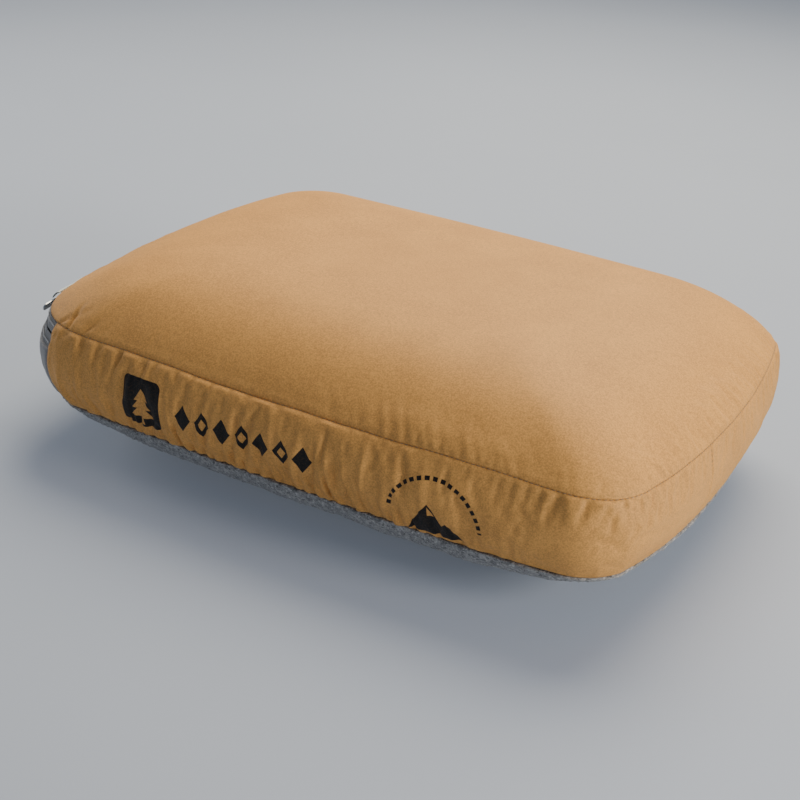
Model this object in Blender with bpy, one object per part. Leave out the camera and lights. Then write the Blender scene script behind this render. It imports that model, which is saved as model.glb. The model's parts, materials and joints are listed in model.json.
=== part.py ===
"""Camp pillow: a foam core in a zipped cover with a boxed side band.

Metres, +Z up. The origin is the middle of the flat patch that the pillow rests on.
+X runs along the length, away from the zipped end, and -Y is the front.
"""
import math

import bpy
from mathutils import Matrix, Vector

# Driving sizes of the made-up pillow
LENGTH = 0.460
DEPTH = 0.324
BELLY = 0.037               # floor to the bottom seam
BAND_HEIGHT = 0.055         # bottom seam to the top seam
CROWN = 0.044               # top seam to the highest point
CORNER_RADIUS = 0.0386      # plan corner at the top seam
SOFT_CORNER_RADIUS = 0.056  # the front corner of the zipped end, which is rounder
END_BOW = 0.0193            # how far each short side bows out between its corners
SIDE_BOW = 0.0060           # how far each long side bows out
BAND_BULGE = 0.0088         # how far the band bellies out between its seams
BOTTOM_INSET = 0.0045       # the bottom seam lies this far inside the top seam
CROWN_POWER = 4.8
CROWN_SOFTNESS = 0.94
FLAT_SHARE = 0.40           # share of the plan that lies flat on the floor

# Cloth and foam
GAP = 0.0003
COVER = 0.0016              # thickness of every cover panel
LINER = 0.0008
THREAD = 0.0008
PANEL_SEAM_ANGLE = math.radians(54)   # where an end panel meets the band, into each corner
BAND_JOIN_Y = -0.045        # the band's own join, on the plain end

# Zip, measured down the slope of the zipped strip from the top seam
TAPE_SHOW = 0.0060          # tape between its seam and its coil
TAPE = 0.0006
COIL_WIDTH = 0.0020
COIL_HEIGHT = 0.0013
SLOT = 0.0016               # between the two coils
WEB = 0.0010
PLATE = 0.0008
FLANGE = 0.0008
SLIDER_LENGTH = 0.0072
STOP_LENGTH = 0.0025
STOP_HEIGHT = 0.0021
CHAIN_MARGIN = 0.0030       # coil end to the end of the bowed side

# Slider bail and pull tab
BAIL_WIDTH = 0.0016
BAIL_WALL = 0.0008
BAIL_OPENING = 0.0020       # height under the bail
BAIL_REACH = 0.0016         # half its clear length along the travel
BAR = 0.0010                # square section of the pull's bar
PULL_WIDTH = 0.0052
PULL_ARM = 0.0012
PULL_LENGTH = 0.024
PULL_FLIP = math.radians(180)

# Care label, sewn into the top seam above the zip
LABEL_WIDTH = 0.030
LABEL_REACH = 0.0085
LABEL_THICKNESS = 0.0008
LABEL_AT = 0.093            # from the middle of the end, towards the front

# Mesh resolution
CORNER_STEPS = 6
SIDE_STEPS = 6
END_STEPS = 12
CROWN_RINGS = 7
BELLY_RINGS = 5
BAND_ROWS = 4

# Derived sizes
BOTTOM_SEAM_Z = BELLY
TOP_SEAM_Z = BELLY + BAND_HEIGHT


def band_offset(share, bulge=BAND_BULGE):
    """How far the band stands out from the top seam line, at a share of its height."""
    return bulge * 4 * share * (1 - share) - BOTTOM_INSET * (1 - share)


PROUD_SHARE = 0.5 + BOTTOM_INSET / (8 * BAND_BULGE)
BAND_PROUD = band_offset(PROUD_SHARE)
SEAM_X = LENGTH / 2 - BAND_PROUD
SEAM_Y = DEPTH / 2 - BAND_PROUD
END_RADIUS = (SEAM_Y**2 + END_BOW**2) / (2 * END_BOW)
SIDE_RADIUS = (SEAM_X**2 + SIDE_BOW**2) / (2 * SIDE_BOW)
END_CENTRE = Vector((SEAM_X - END_RADIUS, 0))       # of the plain end, at +X
SIDE_CENTRE = Vector((0, SEAM_Y - SIDE_RADIUS))     # of the back side, at +Y

ZIP_STRIP = 2 * TAPE_SHOW + 2 * COIL_WIDTH + SLOT
CHAIN_DOWN = ZIP_STRIP / 2


def circles_meet(centre_a, radius_a, centre_b, radius_b):
    """The meeting point of two circles with the largest x + y."""
    between = centre_b - centre_a
    distance = between.length
    along = (distance**2 + radius_a**2 - radius_b**2) / (2 * distance)
    across = math.sqrt(radius_a**2 - along**2)
    unit = between / distance
    normal = Vector((-unit.y, unit.x))
    points = [centre_a + unit * along + normal * across * sign for sign in (1, -1)]
    return max(points, key=lambda point: point.x + point.y)


def corner_fit(radius):
    """Centre of a corner, and how far the end and side arcs run from their middles to it."""
    centre = circles_meet(END_CENTRE, END_RADIUS - radius, SIDE_CENTRE, SIDE_RADIUS - radius)
    end_angle = math.atan2(centre.y, centre.x - END_CENTRE.x)
    side_angle = math.atan2(centre.x, centre.y - SIDE_CENTRE.y)
    return centre, end_angle, side_angle


CORNER_CENTRE, END_HALF_ANGLE, SIDE_HALF_ANGLE = corner_fit(CORNER_RADIUS)
SOFT_CENTRE, SOFT_END_ANGLE, SOFT_SIDE_ANGLE = corner_fit(SOFT_CORNER_RADIUS)


# Plan stations: each is (centre, radius at the top seam, angle)

def arc(centre, radius, start, stop, steps):
    return [(centre, radius, start + (stop - start) * i / steps) for i in range(steps + 1)]


def corner(sign_x, sign_y, start, stop, steps=CORNER_STEPS):
    centre = Vector((sign_x * CORNER_CENTRE.x, sign_y * CORNER_CENTRE.y))
    return arc(centre, CORNER_RADIUS, start, stop, steps)


def soft_corner(start, stop, steps):
    return arc(-SOFT_CENTRE, SOFT_CORNER_RADIUS, start, stop, steps)


def chained(*runs):
    """Joins runs of stations that share their end points."""
    stations = list(runs[0])
    for run in runs[1:]:
        stations += run[1:]
    return stations


QUARTER = math.pi / 2
JOIN_ANGLE = math.asin(BAND_JOIN_Y / END_RADIUS)
FRONT_LEFT_TURN = math.pi + SOFT_END_ANGLE
FRONT_LEFT_SEAM = FRONT_LEFT_TURN + PANEL_SEAM_ANGLE
BACK_LEFT_TURN = math.pi - END_HALF_ANGLE
BACK_LEFT_SEAM = BACK_LEFT_TURN - PANEL_SEAM_ANGLE

FRONT_RUN = chained(
    soft_corner(FRONT_LEFT_SEAM, 3 * QUARTER - SOFT_SIDE_ANGLE, CORNER_STEPS - 2),
    arc(-SIDE_CENTRE, SIDE_RADIUS, 3 * QUARTER - SOFT_SIDE_ANGLE, 3 * QUARTER + SIDE_HALF_ANGLE,
        SIDE_STEPS),
    corner(1, -1, 3 * QUARTER + SIDE_HALF_ANGLE, 4 * QUARTER - END_HALF_ANGLE),
    arc(END_CENTRE, END_RADIUS, -END_HALF_ANGLE, JOIN_ANGLE, 3))
BACK_RUN = chained(
    arc(END_CENTRE, END_RADIUS, JOIN_ANGLE, END_HALF_ANGLE, 5),
    corner(1, 1, END_HALF_ANGLE, QUARTER - SIDE_HALF_ANGLE),
    arc(SIDE_CENTRE, SIDE_RADIUS, QUARTER - SIDE_HALF_ANGLE, QUARTER + SIDE_HALF_ANGLE, SIDE_STEPS),
    corner(-1, 1, QUARTER + SIDE_HALF_ANGLE, BACK_LEFT_SEAM, CORNER_STEPS - 2))
END_RUN = chained(
    corner(-1, 1, BACK_LEFT_SEAM, BACK_LEFT_TURN, 3),
    arc(-END_CENTRE, END_RADIUS, BACK_LEFT_TURN, FRONT_LEFT_TURN, END_STEPS),
    soft_corner(FRONT_LEFT_TURN, FRONT_LEFT_SEAM, 4))
WHOLE_RUN = chained(FRONT_RUN, BACK_RUN, END_RUN)[:-1]


def trimmed(stations, gap=GAP / 2):
    """The same run, shortened by gap at both ends."""
    first, last = stations[0], stations[-1]
    start = (first[0], first[1], first[2] + gap / first[1])
    stop = (last[0], last[1], last[2] - gap / last[1])
    return [start] + stations[1:-1] + [stop]


def end_arc(start, stop, steps=END_STEPS):
    """Stations of the zipped end between two arc lengths from its middle, front positive."""
    return arc(-END_CENTRE, END_RADIUS, math.pi + start / END_RADIUS, math.pi + stop / END_RADIUS, steps)


def place(station, offset, z):
    """The point that stands offset outside the top seam line at a station, at height z."""
    centre, radius, angle = station
    out = radius + offset
    return Vector((centre.x + out * math.cos(angle), centre.y + out * math.sin(angle), z))


def ring(offset, z, scale=1.0):
    points = [place(station, offset, z) for station in WHOLE_RUN]
    return [Vector((point.x * scale, point.y * scale, point.z)) for point in points]


# The zipped strip is a straight slope from the top seam down into the band

def strip_share():
    """Share of the band's height where the zipped strip ends, from its sloping length."""
    share = 1 - ZIP_STRIP / BAND_HEIGHT
    for _ in range(40):
        drop = math.sqrt(ZIP_STRIP**2 - band_offset(share)**2)
        share = 1 - drop / BAND_HEIGHT
    return share


STRIP_SHARE = strip_share()
STRIP_DROP = (1 - STRIP_SHARE) * BAND_HEIGHT
SLOPE = math.atan2(band_offset(STRIP_SHARE), STRIP_DROP)
STRIP_BOTTOM_Z = TOP_SEAM_Z - STRIP_DROP


def strip_offset(down, height):
    """Offset and z of a point down the strip from the top seam and height above its face."""
    return (down * math.sin(SLOPE) + height * math.cos(SLOPE),
            TOP_SEAM_Z - down * math.cos(SLOPE) + height * math.sin(SLOPE))


SLIDER_HALF_WIDTH = CHAIN_DOWN - TAPE_SHOW + GAP + FLANGE
INNER_PLATE = COVER - TAPE - GAP
INNER_HALF_WIDTH = SLOT / 2 + COIL_WIDTH


def core_ease():
    """How much flatter than the cover the core's sides are, to clear the slider inside."""
    share = 1 - (CHAIN_DOWN - INNER_HALF_WIDTH) * math.cos(SLOPE) / BAND_HEIGHT
    sag = BAND_BULGE * (share - STRIP_SHARE) / share
    return sag + 1.5 * GAP / (4 * share * (1 - share))


CORE_BULGE = BAND_BULGE - core_ease()
LINER_DEPTH = COVER + GAP
CORE_DEPTH = LINER_DEPTH + LINER + GAP


# Meshes

def finish_object(name, vertices, faces, colour, roughness, metallic=0.0, smooth=True):
    mesh = bpy.data.meshes.new(name)
    mesh.from_pydata(vertices, [], faces)
    mesh.validate()
    piece = bpy.data.objects.new(name, mesh)
    bpy.context.scene.collection.objects.link(piece)
    material = bpy.data.materials.new(name)
    material.use_nodes = True
    shader = material.node_tree.nodes["Principled BSDF"]
    shader.inputs["Base Color"].default_value = (*colour, 1)
    shader.inputs["Roughness"].default_value = roughness
    shader.inputs["Metallic"].default_value = metallic
    mesh.materials.append(material)
    if smooth:
        mesh.shade_smooth()
        mesh.set_sharp_from_angle(angle=math.radians(40))
    return piece


def loft(name, loops, colour, roughness, cyclic=False):
    """A closed skin through equal closed loops, with flat caps unless it is cyclic."""
    count = len(loops[0])
    vertices = [point for loop in loops for point in loop]
    spans = len(loops) if cyclic else len(loops) - 1
    faces = []
    for i in range(spans):
        here = i * count
        there = (i + 1) % len(loops) * count
        for j in range(count):
            k = (j + 1) % count
            faces.append((here + j, here + k, there + k, there + j))
    if not cyclic:
        faces.append(tuple(reversed(range(count))))
        faces.append(tuple(range((len(loops) - 1) * count, len(loops) * count)))
    volume = 0.0
    for face in faces:
        for i in range(1, len(face) - 1):
            a, b, c = vertices[face[0]], vertices[face[i]], vertices[face[i + 1]]
            volume += a.dot(b.cross(c))
    if volume < 0:
        faces = [tuple(reversed(face)) for face in faces]
    return finish_object(name, vertices, faces, colour, roughness)


def crown_rings(depth, start_z):
    """Rings of the crowned top at a depth under the cloth's face, from the rim to the middle."""
    rings = []
    for i in range(CROWN_RINGS):
        scale = math.sin(QUARTER * (1 - i / CROWN_RINGS))
        rise = (1 - scale**CROWN_POWER)**CROWN_SOFTNESS
        rings.append(ring(-depth, start_z + (TOP_SEAM_Z + CROWN - depth - start_z) * rise, scale))
    return rings


def belly_rings(depth, start_z):
    """Rings of the belly at a depth under the cloth's face, from the rim to the flat patch."""
    rings = []
    for i in range(BELLY_RINGS + 1):
        turn = QUARTER * i / BELLY_RINGS
        scale = 1 - (1 - math.cos(turn)) * (1 - FLAT_SHARE)
        z = depth + (start_z - depth) * (1 - math.sin(turn))
        rings.append(ring(-BOTTOM_INSET - depth, z, scale))
    return rings


def band_rings(depth, bulge, shares):
    return [ring(band_offset(share, bulge) - depth, BOTTOM_SEAM_Z + share * BAND_HEIGHT)
            for share in shares]


def shell(name, outer, inner, colour, roughness):
    """A bowl-shaped skin between two stacks of rings that run from the rim to the middle."""
    return loft(name, list(reversed(outer)) + inner, colour, roughness)


def band_section(station, low_z, high_z, depth=COVER):
    """Closed section of the band at a station: up its face, then down its back."""
    section = []
    for i in range(BAND_ROWS + 1):
        z = low_z + (high_z - low_z) * i / BAND_ROWS
        share = (z - BOTTOM_SEAM_Z) / BAND_HEIGHT
        section.append((band_offset(share), z))
    section += [(offset - depth, z) for offset, z in reversed(section)]
    return [place(station, offset, z) for offset, z in section]


def band_strip(name, stations, high_z, colour, roughness):
    low_z = BOTTOM_SEAM_Z + GAP / 2
    loops = [band_section(station, low_z, high_z) for station in stations]
    return loft(name, loops, colour, roughness)


def zip_strip(name, stations, down_from, down_to, low, high, colour, roughness):
    """A flat bar along the zipped strip, between two distances down it and two heights."""
    corners = [(down_from, low), (down_from, high), (down_to, high), (down_to, low)]
    section = [strip_offset(down, height) for down, height in corners]
    loops = [[place(station, offset, z) for offset, z in section] for station in stations]
    return loft(name, loops, colour, roughness)


def seam_cord(name, offset, z, colour, roughness):
    """A thread ring with a diamond section, lying just outside a seam."""
    half = THREAD / 2
    steps = [(0, half), (half, 0), (0, -half), (-half, 0)]
    loops = []
    for station in WHOLE_RUN:
        loops.append([place(station, offset + GAP + half + out, z + up) for out, up in steps])
    return loft(name, loops, colour, roughness, cyclic=True)


def upright_thread(name, station, colour, roughness):
    """A thread that lies up the face of the band over one of its upright seams."""
    low_z = BOTTOM_SEAM_Z + THREAD + GAP
    high_z = TOP_SEAM_Z - THREAD - GAP
    centre, radius, angle = station
    half = THREAD / 2 / radius
    loops = []
    for i in range(2 * BAND_ROWS + 1):
        z = low_z + (high_z - low_z) * i / (2 * BAND_ROWS)
        face = band_offset((z - BOTTOM_SEAM_Z) / BAND_HEIGHT) + GAP
        loops.append([place((centre, radius, angle + turn), face + out, z)
                      for turn, out in ((-half, 0), (half, 0), (half, THREAD / 2), (-half, THREAD / 2))])
    return loft(name, loops, colour, roughness)


# The slider and its pull are built flat, with x along the travel towards the front corner,
# y up the strip and z out of its face, and then placed on the chain

def chain_frame(travel):
    angle = math.pi + travel / END_RADIUS
    out = Vector((math.cos(angle), math.sin(angle), 0))
    along = Vector((-math.sin(angle), math.cos(angle), 0))
    up = Vector((0, 0, 1))
    normal = out * math.cos(SLOPE) + up * math.sin(SLOPE)
    rise = up * math.cos(SLOPE) - out * math.sin(SLOPE)
    offset, z = strip_offset(CHAIN_DOWN, 0)
    origin = place((-END_CENTRE, END_RADIUS, angle), offset, z)
    matrix = Matrix((along, rise, normal)).transposed().to_4x4()
    matrix.translation = origin
    return matrix


def box_faces(low, high):
    vertices = [Vector((x, y, z)) for x in (low[0], high[0]) for y in (low[1], high[1])
                for z in (low[2], high[2])]
    faces = [(0, 1, 3, 2), (4, 6, 7, 5), (0, 4, 5, 1), (2, 3, 7, 6), (0, 2, 6, 4), (1, 5, 7, 3)]
    return vertices, faces


def united(name, boxes, matrix, origin, colour, roughness, metallic):
    """One body made of overlapping boxes, with its object's origin at a given point."""
    shift = Matrix.Translation(-origin)
    pieces = []
    for i, (low, high) in enumerate(boxes):
        vertices, faces = box_faces(low, high)
        placed = [shift @ matrix @ vertex for vertex in vertices]
        label = name if i == 0 else f"{name}_block_{i}"
        piece = finish_object(label, placed, faces, colour, roughness, metallic, smooth=False)
        piece.location = origin
        pieces.append(piece)
    body = pieces[0]
    for tool in pieces[1:]:
        union = body.modifiers.new("join", "BOOLEAN")
        union.operation = "UNION"
        union.object = tool
        tool.hide_render = True
        tool.display_type = "WIRE"
    return body


METAL = (0.52, 0.53, 0.55)
TAN = (0.55, 0.35, 0.16)
GREY = (0.26, 0.28, 0.30)
CHAIN_SHORT = CHAIN_MARGIN + STOP_LENGTH + GAP
COIL_FRONT = SOFT_END_ANGLE * END_RADIUS - CHAIN_SHORT      # both from the middle of the end
COIL_BACK = END_HALF_ANGLE * END_RADIUS - CHAIN_SHORT
SLIDER_REST = COIL_FRONT - SLIDER_LENGTH / 2
PLATE_LOW = GAP + COIL_HEIGHT + GAP
PLATE_TOP = PLATE_LOW + PLATE
PIVOT_HEIGHT = PLATE_TOP + BAIL_OPENING / 2
ZIP_TRAVEL = (COIL_FRONT + COIL_BACK - SLIDER_LENGTH) / END_RADIUS   # radians, about the end's centre


def make_slider():
    half = SLIDER_LENGTH / 2
    inner_top = -TAPE - GAP
    bail_outer = BAIL_REACH + BAIL_WALL
    bail_top = PLATE_TOP + BAIL_OPENING
    bail_side = BAIL_WIDTH / 2
    overlap = PLATE / 2
    boxes = [((-half, -SLIDER_HALF_WIDTH, PLATE_LOW), (half, SLIDER_HALF_WIDTH, PLATE_TOP)),
             ((-half, -INNER_HALF_WIDTH, inner_top - INNER_PLATE), (half, INNER_HALF_WIDTH, inner_top)),
             ((-half / 2, -WEB / 2, inner_top - overlap), (half / 2, WEB / 2, PLATE_LOW + overlap))]
    for side in (-1, 1):
        edges = sorted((side * SLIDER_HALF_WIDTH * 0.999, side * (SLIDER_HALF_WIDTH - FLANGE)))
        boxes.append(((-half * 0.98, edges[0], GAP), (half * 0.98, edges[1], PLATE_LOW + overlap)))
        feet = sorted((side * BAIL_REACH, side * bail_outer))
        boxes.append(((feet[0], -bail_side, PLATE_TOP - overlap), (feet[1], bail_side, bail_top + overlap)))
    boxes.append(((-bail_outer * 1.02, -bail_side * 1.02, bail_top),
                  (bail_outer * 1.02, bail_side * 1.02, bail_top + BAIL_WALL)))
    axis_point = Vector((-END_CENTRE.x, -END_CENTRE.y, 0))
    return united("zip_slider", boxes, chain_frame(SLIDER_REST), axis_point, METAL, 0.35, 1.0)


def make_pull(slider):
    """A flat tab with a window, whose square bar runs under the slider's bail."""
    half = PULL_WIDTH / 2
    bar = BAR / 2
    window_end = BAIL_REACH + BAIL_WALL + BAR + 2 * GAP
    inner = half - PULL_ARM
    tip = half
    outline = [(-bar, -half), (PULL_LENGTH - tip, -half)]
    for i in range(1, 6):
        turn = -QUARTER + math.pi * i / 6
        outline.append((PULL_LENGTH - tip + tip * math.cos(turn), half * math.sin(turn)))
    outline += [(PULL_LENGTH - tip, half), (-bar, half)]
    window = [(bar, -inner), (window_end, -inner), (window_end, inner), (bar, inner)]
    curve = bpy.data.curves.new("zip_pull_outline", "CURVE")
    curve.dimensions = "2D"
    curve.fill_mode = "BOTH"
    curve.extrude = BAR / 2
    for points in (outline, window):
        spline = curve.splines.new("POLY")
        spline.points.add(len(points) - 1)
        for point, (x, y) in zip(spline.points, points):
            point.co = (x, y, 0, 1)
        spline.use_cyclic_u = True
    guide = bpy.data.objects.new("zip_pull_guide", curve)
    bpy.context.scene.collection.objects.link(guide)
    bpy.context.view_layer.update()
    filled = guide.to_mesh()
    matrix = chain_frame(SLIDER_REST) @ Matrix.Translation((0, 0, PIVOT_HEIGHT))
    origin = matrix.translation.copy()
    vertices = [matrix @ vertex.co - origin for vertex in filled.vertices]
    faces = [tuple(face.vertices) for face in filled.polygons]
    guide.to_mesh_clear()
    bpy.data.objects.remove(guide)
    pull = finish_object("zip_pull", vertices, faces, METAL, 0.35, 1.0, smooth=False)
    weld = pull.modifiers.new("weld", "WELD")
    weld.merge_threshold = 0.00001
    pull.location = origin
    bpy.context.view_layer.update()
    pull.parent = slider
    pull.matrix_parent_inverse = slider.matrix_world.inverted()
    return pull


def make_stops():
    """Two stops at the closed end, one on each tape, and one across both at the other."""
    sides = {"upper": (TAPE_SHOW, TAPE_SHOW + COIL_WIDTH),
             "lower": (ZIP_STRIP - TAPE_SHOW - COIL_WIDTH, ZIP_STRIP - TAPE_SHOW)}
    top = end_arc(COIL_FRONT + GAP, COIL_FRONT + GAP + STOP_LENGTH, 1)
    for side, (down_from, down_to) in sides.items():
        zip_strip(f"zip_top_stop_{side}", top, down_from, down_to, GAP, GAP + STOP_HEIGHT, METAL, 0.4)
        chain = end_arc(-COIL_BACK, COIL_FRONT)
        zip_strip(f"zip_coil_{side}", chain, down_from, down_to, GAP, GAP + COIL_HEIGHT, GREY, 0.5)
    bottom = end_arc(-COIL_BACK - GAP - STOP_LENGTH, -COIL_BACK - GAP, 1)
    zip_strip("zip_bottom_stop", bottom, sides["upper"][0], sides["lower"][1], GAP, GAP + STOP_HEIGHT,
              METAL, 0.4)


def make_zip():
    tapes = trimmed(END_RUN)
    zip_strip("zip_tape_upper", tapes, GAP, TAPE_SHOW + COIL_WIDTH, -TAPE, 0, GREY, 0.8)
    zip_strip("zip_tape_lower", tapes, ZIP_STRIP - TAPE_SHOW - COIL_WIDTH, ZIP_STRIP, -TAPE, 0, GREY, 0.8)
    stitched = trimmed(END_RUN, THREAD + 2 * GAP)
    for side, down in (("upper", TAPE_SHOW / 2), ("lower", ZIP_STRIP - TAPE_SHOW / 2)):
        zip_strip(f"zip_thread_{side}", stitched, down - THREAD / 2, down + THREAD / 2,
                  GAP, GAP + THREAD / 2, GREY, 0.7)
    make_stops()
    slider = make_slider()
    make_pull(slider)


def make_cover():
    crown_rim = TOP_SEAM_Z + GAP / 2
    shell("top_panel", crown_rings(0, crown_rim), crown_rings(COVER, crown_rim), TAN, 0.8)
    belly_rim = BOTTOM_SEAM_Z - GAP / 2
    shell("bottom_panel", belly_rings(0, belly_rim), belly_rings(COVER, belly_rim), (0.20, 0.22, 0.24), 0.95)
    band_top = TOP_SEAM_Z - GAP / 2
    band_strip("side_band_front", trimmed(FRONT_RUN), band_top, TAN, 0.8)
    band_strip("side_band_back", trimmed(BACK_RUN), band_top, TAN, 0.8)
    end_top = STRIP_BOTTOM_Z - GAP - TAPE * math.sin(SLOPE)
    band_strip("end_panel", trimmed(END_RUN), end_top, GREY, 0.8)


def make_threads():
    seam_cord("top_seam_thread", 0, TOP_SEAM_Z, TAN, 0.7)
    seam_cord("bottom_seam_thread", -BOTTOM_INSET, BOTTOM_SEAM_Z, GREY, 0.7)
    upright_thread("front_corner_thread", END_RUN[-1], GREY, 0.7)
    upright_thread("back_corner_thread", END_RUN[0], GREY, 0.7)
    upright_thread("band_join_thread", BACK_RUN[0], TAN, 0.7)


def make_core():
    """The foam block and the two halves of its knitted liner, which meet round the middle."""
    rows = [i / BAND_ROWS for i in range(BAND_ROWS + 1)]
    middle = BAND_ROWS // 2
    gap_share = GAP / 2 / BAND_HEIGHT
    upper_rows = [1 - share for share in rows[:middle]] + [rows[middle] + gap_share]
    lower_rows = rows[:middle] + [rows[middle] - gap_share]
    white = (0.75, 0.75, 0.73)

    def upper(depth):
        return list(reversed(crown_rings(depth, TOP_SEAM_Z)))[:-1] + band_rings(depth, CORE_BULGE, upper_rows)

    def lower(depth):
        return list(reversed(belly_rings(depth, BOTTOM_SEAM_Z)))[:-1] + band_rings(depth, CORE_BULGE, lower_rows)

    for half, stack in (("upper", upper), ("lower", lower)):
        outer, inner = stack(LINER_DEPTH), stack(LINER_DEPTH + LINER)
        shell(f"core_liner_{half}", list(reversed(outer)), list(reversed(inner)), white, 0.9)
    block = upper(CORE_DEPTH) + list(reversed(lower(CORE_DEPTH)))
    loft("foam_core", block, (0.80, 0.74, 0.58), 0.95)


def make_label():
    """A folded care label that stands out of the top seam above the zip."""
    inner = GAP + THREAD + GAP
    steps = 4
    face, back = [], []
    for i in range(steps + 1):
        out = LABEL_REACH * i / steps
        lift = GAP + 0.0014 * math.sin(math.pi * 0.75 * i / steps)
        back.append((inner + out, TOP_SEAM_Z + lift))
        face.append((inner + out, TOP_SEAM_Z + lift + LABEL_THICKNESS))
    section = back + list(reversed(face))
    stations = end_arc(LABEL_AT - LABEL_WIDTH / 2, LABEL_AT + LABEL_WIDTH / 2, 4)
    loops = [[place(station, offset, z) for offset, z in section] for station in stations]
    loft("care_label", loops, (0.80, 0.86, 0.84), 0.6)


def main():
    for old in list(bpy.data.objects):
        bpy.data.objects.remove(old)
    make_core()
    make_cover()
    make_threads()
    make_zip()
    make_label()


main()
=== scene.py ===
"""The camp pillow's looks: sewn cover, fleece, prints, zip and label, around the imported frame."""
import json
import math

import bmesh
import bpy
import numpy as np
from mathutils import Matrix, Vector, noise


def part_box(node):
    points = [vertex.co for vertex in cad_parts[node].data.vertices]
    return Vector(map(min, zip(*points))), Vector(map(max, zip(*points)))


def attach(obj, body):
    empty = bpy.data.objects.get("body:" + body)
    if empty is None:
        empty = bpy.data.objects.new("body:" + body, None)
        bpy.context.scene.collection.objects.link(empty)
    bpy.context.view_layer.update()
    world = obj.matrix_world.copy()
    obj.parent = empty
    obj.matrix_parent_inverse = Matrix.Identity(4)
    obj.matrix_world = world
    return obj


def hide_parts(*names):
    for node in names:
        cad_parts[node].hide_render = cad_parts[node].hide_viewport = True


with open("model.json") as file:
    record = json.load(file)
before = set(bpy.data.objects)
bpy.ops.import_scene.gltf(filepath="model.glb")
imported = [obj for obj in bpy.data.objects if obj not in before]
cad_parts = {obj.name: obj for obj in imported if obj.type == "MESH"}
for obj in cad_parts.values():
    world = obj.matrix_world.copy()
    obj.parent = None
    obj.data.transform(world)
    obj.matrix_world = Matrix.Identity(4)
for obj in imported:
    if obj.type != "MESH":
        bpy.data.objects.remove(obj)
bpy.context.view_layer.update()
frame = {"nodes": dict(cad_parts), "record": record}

# Sizes read from the frame
TOP_LOW, TOP_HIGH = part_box("top_panel")
BELLY_LOW, BELLY_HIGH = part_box("bottom_panel")
JOINTS = {joint["name"]: joint for joint in frame["record"]["behaviour"]["joints"]}
ZIP_AXIS_X = JOINTS["zip_travel"]["pos_m"][0]
SEAM_X, SEAM_Y = TOP_HIGH.x, TOP_HIGH.y
TOP_SEAM_Z = TOP_LOW.z
BOTTOM_SEAM_Z = BELLY_HIGH.z
BAND_HEIGHT = TOP_SEAM_Z - BOTTOM_SEAM_Z
CROWN = TOP_HIGH.z - TOP_SEAM_Z
BOTTOM_INSET = SEAM_X - BELLY_HIGH.x
END_RADIUS = SEAM_X + ZIP_AXIS_X
SEAM_INWARD = 1.4 * SEAM_Y  # length in from the seam for each share of a ring

# The cover's own shape
SIDE_BOW = 0.0060
CORNER_RADIUS = 0.0386
SOFT_CORNER_RADIUS = 0.056  # the front corner of the zipped end, which is rounder
BAND_BULGE = 0.0088
CROWN_POWER = 4.8
CROWN_SOFTNESS = 0.94
FLAT_SHARE = 0.40           # size of the flat patch that lies on the floor, as a share of the belly
FLAT_RING = 0.35            # share of the belly's rings that lie in it
FRONT_PULL, BACK_PULL, PULL_SPAN = 0.0040, 0.0020, 0.045   # bottom seam at the plain end's corners
END_FLATNESS, END_SPAN = 0.42, 0.12                        # how much less the plain end bulges
PANEL_SEAM_ANGLE = math.radians(54)
BAND_JOIN_Y = -0.045

# Cloth settling
SIM_ACROSS, SIM_DEEP, SIM_ROWS = 144, 100, 18
SIM_FRAMES = 24
FULLNESS = 0.08             # most extra cloth gathered into a seam
CAP = 0.0035                # furthest that the cloth may move
PRESS = 0.0018              # furthest that it may sink towards the foam
CROWN_EASE, CROWN_REACH = 0.35, 0.016       # how much of the fullness the top panel takes, how far in
CROWN_FREE = 0.060                          # width of the top panel's border that settles

# Small folds along each seam: the highest, and the spacing, reach and seed of the row
LOWER_FOLD, UPPER_FOLD, CROWN_FOLD = 0.0028, 0.0014, 0.0011
LOWER_ROW, UPPER_ROW = (0.0056, BAND_HEIGHT, 12), (0.0062, 0.6 * BAND_HEIGHT, 13)
CROWN_ROW = (0.0060, 0.026, 11)
FOLD_WIDTHS, FOLD_LEANS, FOLD_BENDS = (0.0018, 0.0036), (-0.22, 0.08), (0.001, 0.004)
WIDEST_FOLD = 0.020

# Finished meshes
FINE = 0.0016
SEAM_MOUTH = 0.0002         # half the gap that shows between two sewn edges
TUCK = 0.0030               # depth that a sewn edge turns in
END_TUCK = 0.0022           # the same at the band's upright edges
SEAM_FLAT = 0.0040          # border of the band in which the folds fade out
STITCH_PITCH, STITCH_LENGTH, STITCH_RADIUS = 0.0032, 0.0022, 0.00024


# Plan of the top seam: arcs that run round it, from the middle of the front-left corner

SIDE_RADIUS = (SEAM_X**2 + SIDE_BOW**2) / (2 * SIDE_BOW)


def corner_fit(radius):
    """Centre of a corner, and the angles that the end and side arcs turn from their middles to it."""
    end_centre = np.array((SEAM_X - END_RADIUS, 0.0))
    side_centre = np.array((0.0, SEAM_Y - SIDE_RADIUS))
    between = side_centre - end_centre
    distance = np.linalg.norm(between)
    end_reach, side_reach = END_RADIUS - radius, SIDE_RADIUS - radius
    along = (distance**2 + end_reach**2 - side_reach**2) / (2 * distance)
    across = math.sqrt(end_reach**2 - along**2)
    unit = between / distance
    centre = end_centre + unit * along + np.array((-unit[1], unit[0])) * across
    end_angle = math.atan2(centre[1], centre[0] - end_centre[0])
    side_angle = math.atan2(centre[0], centre[1] - side_centre[1])
    return centre, end_angle, side_angle


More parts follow.
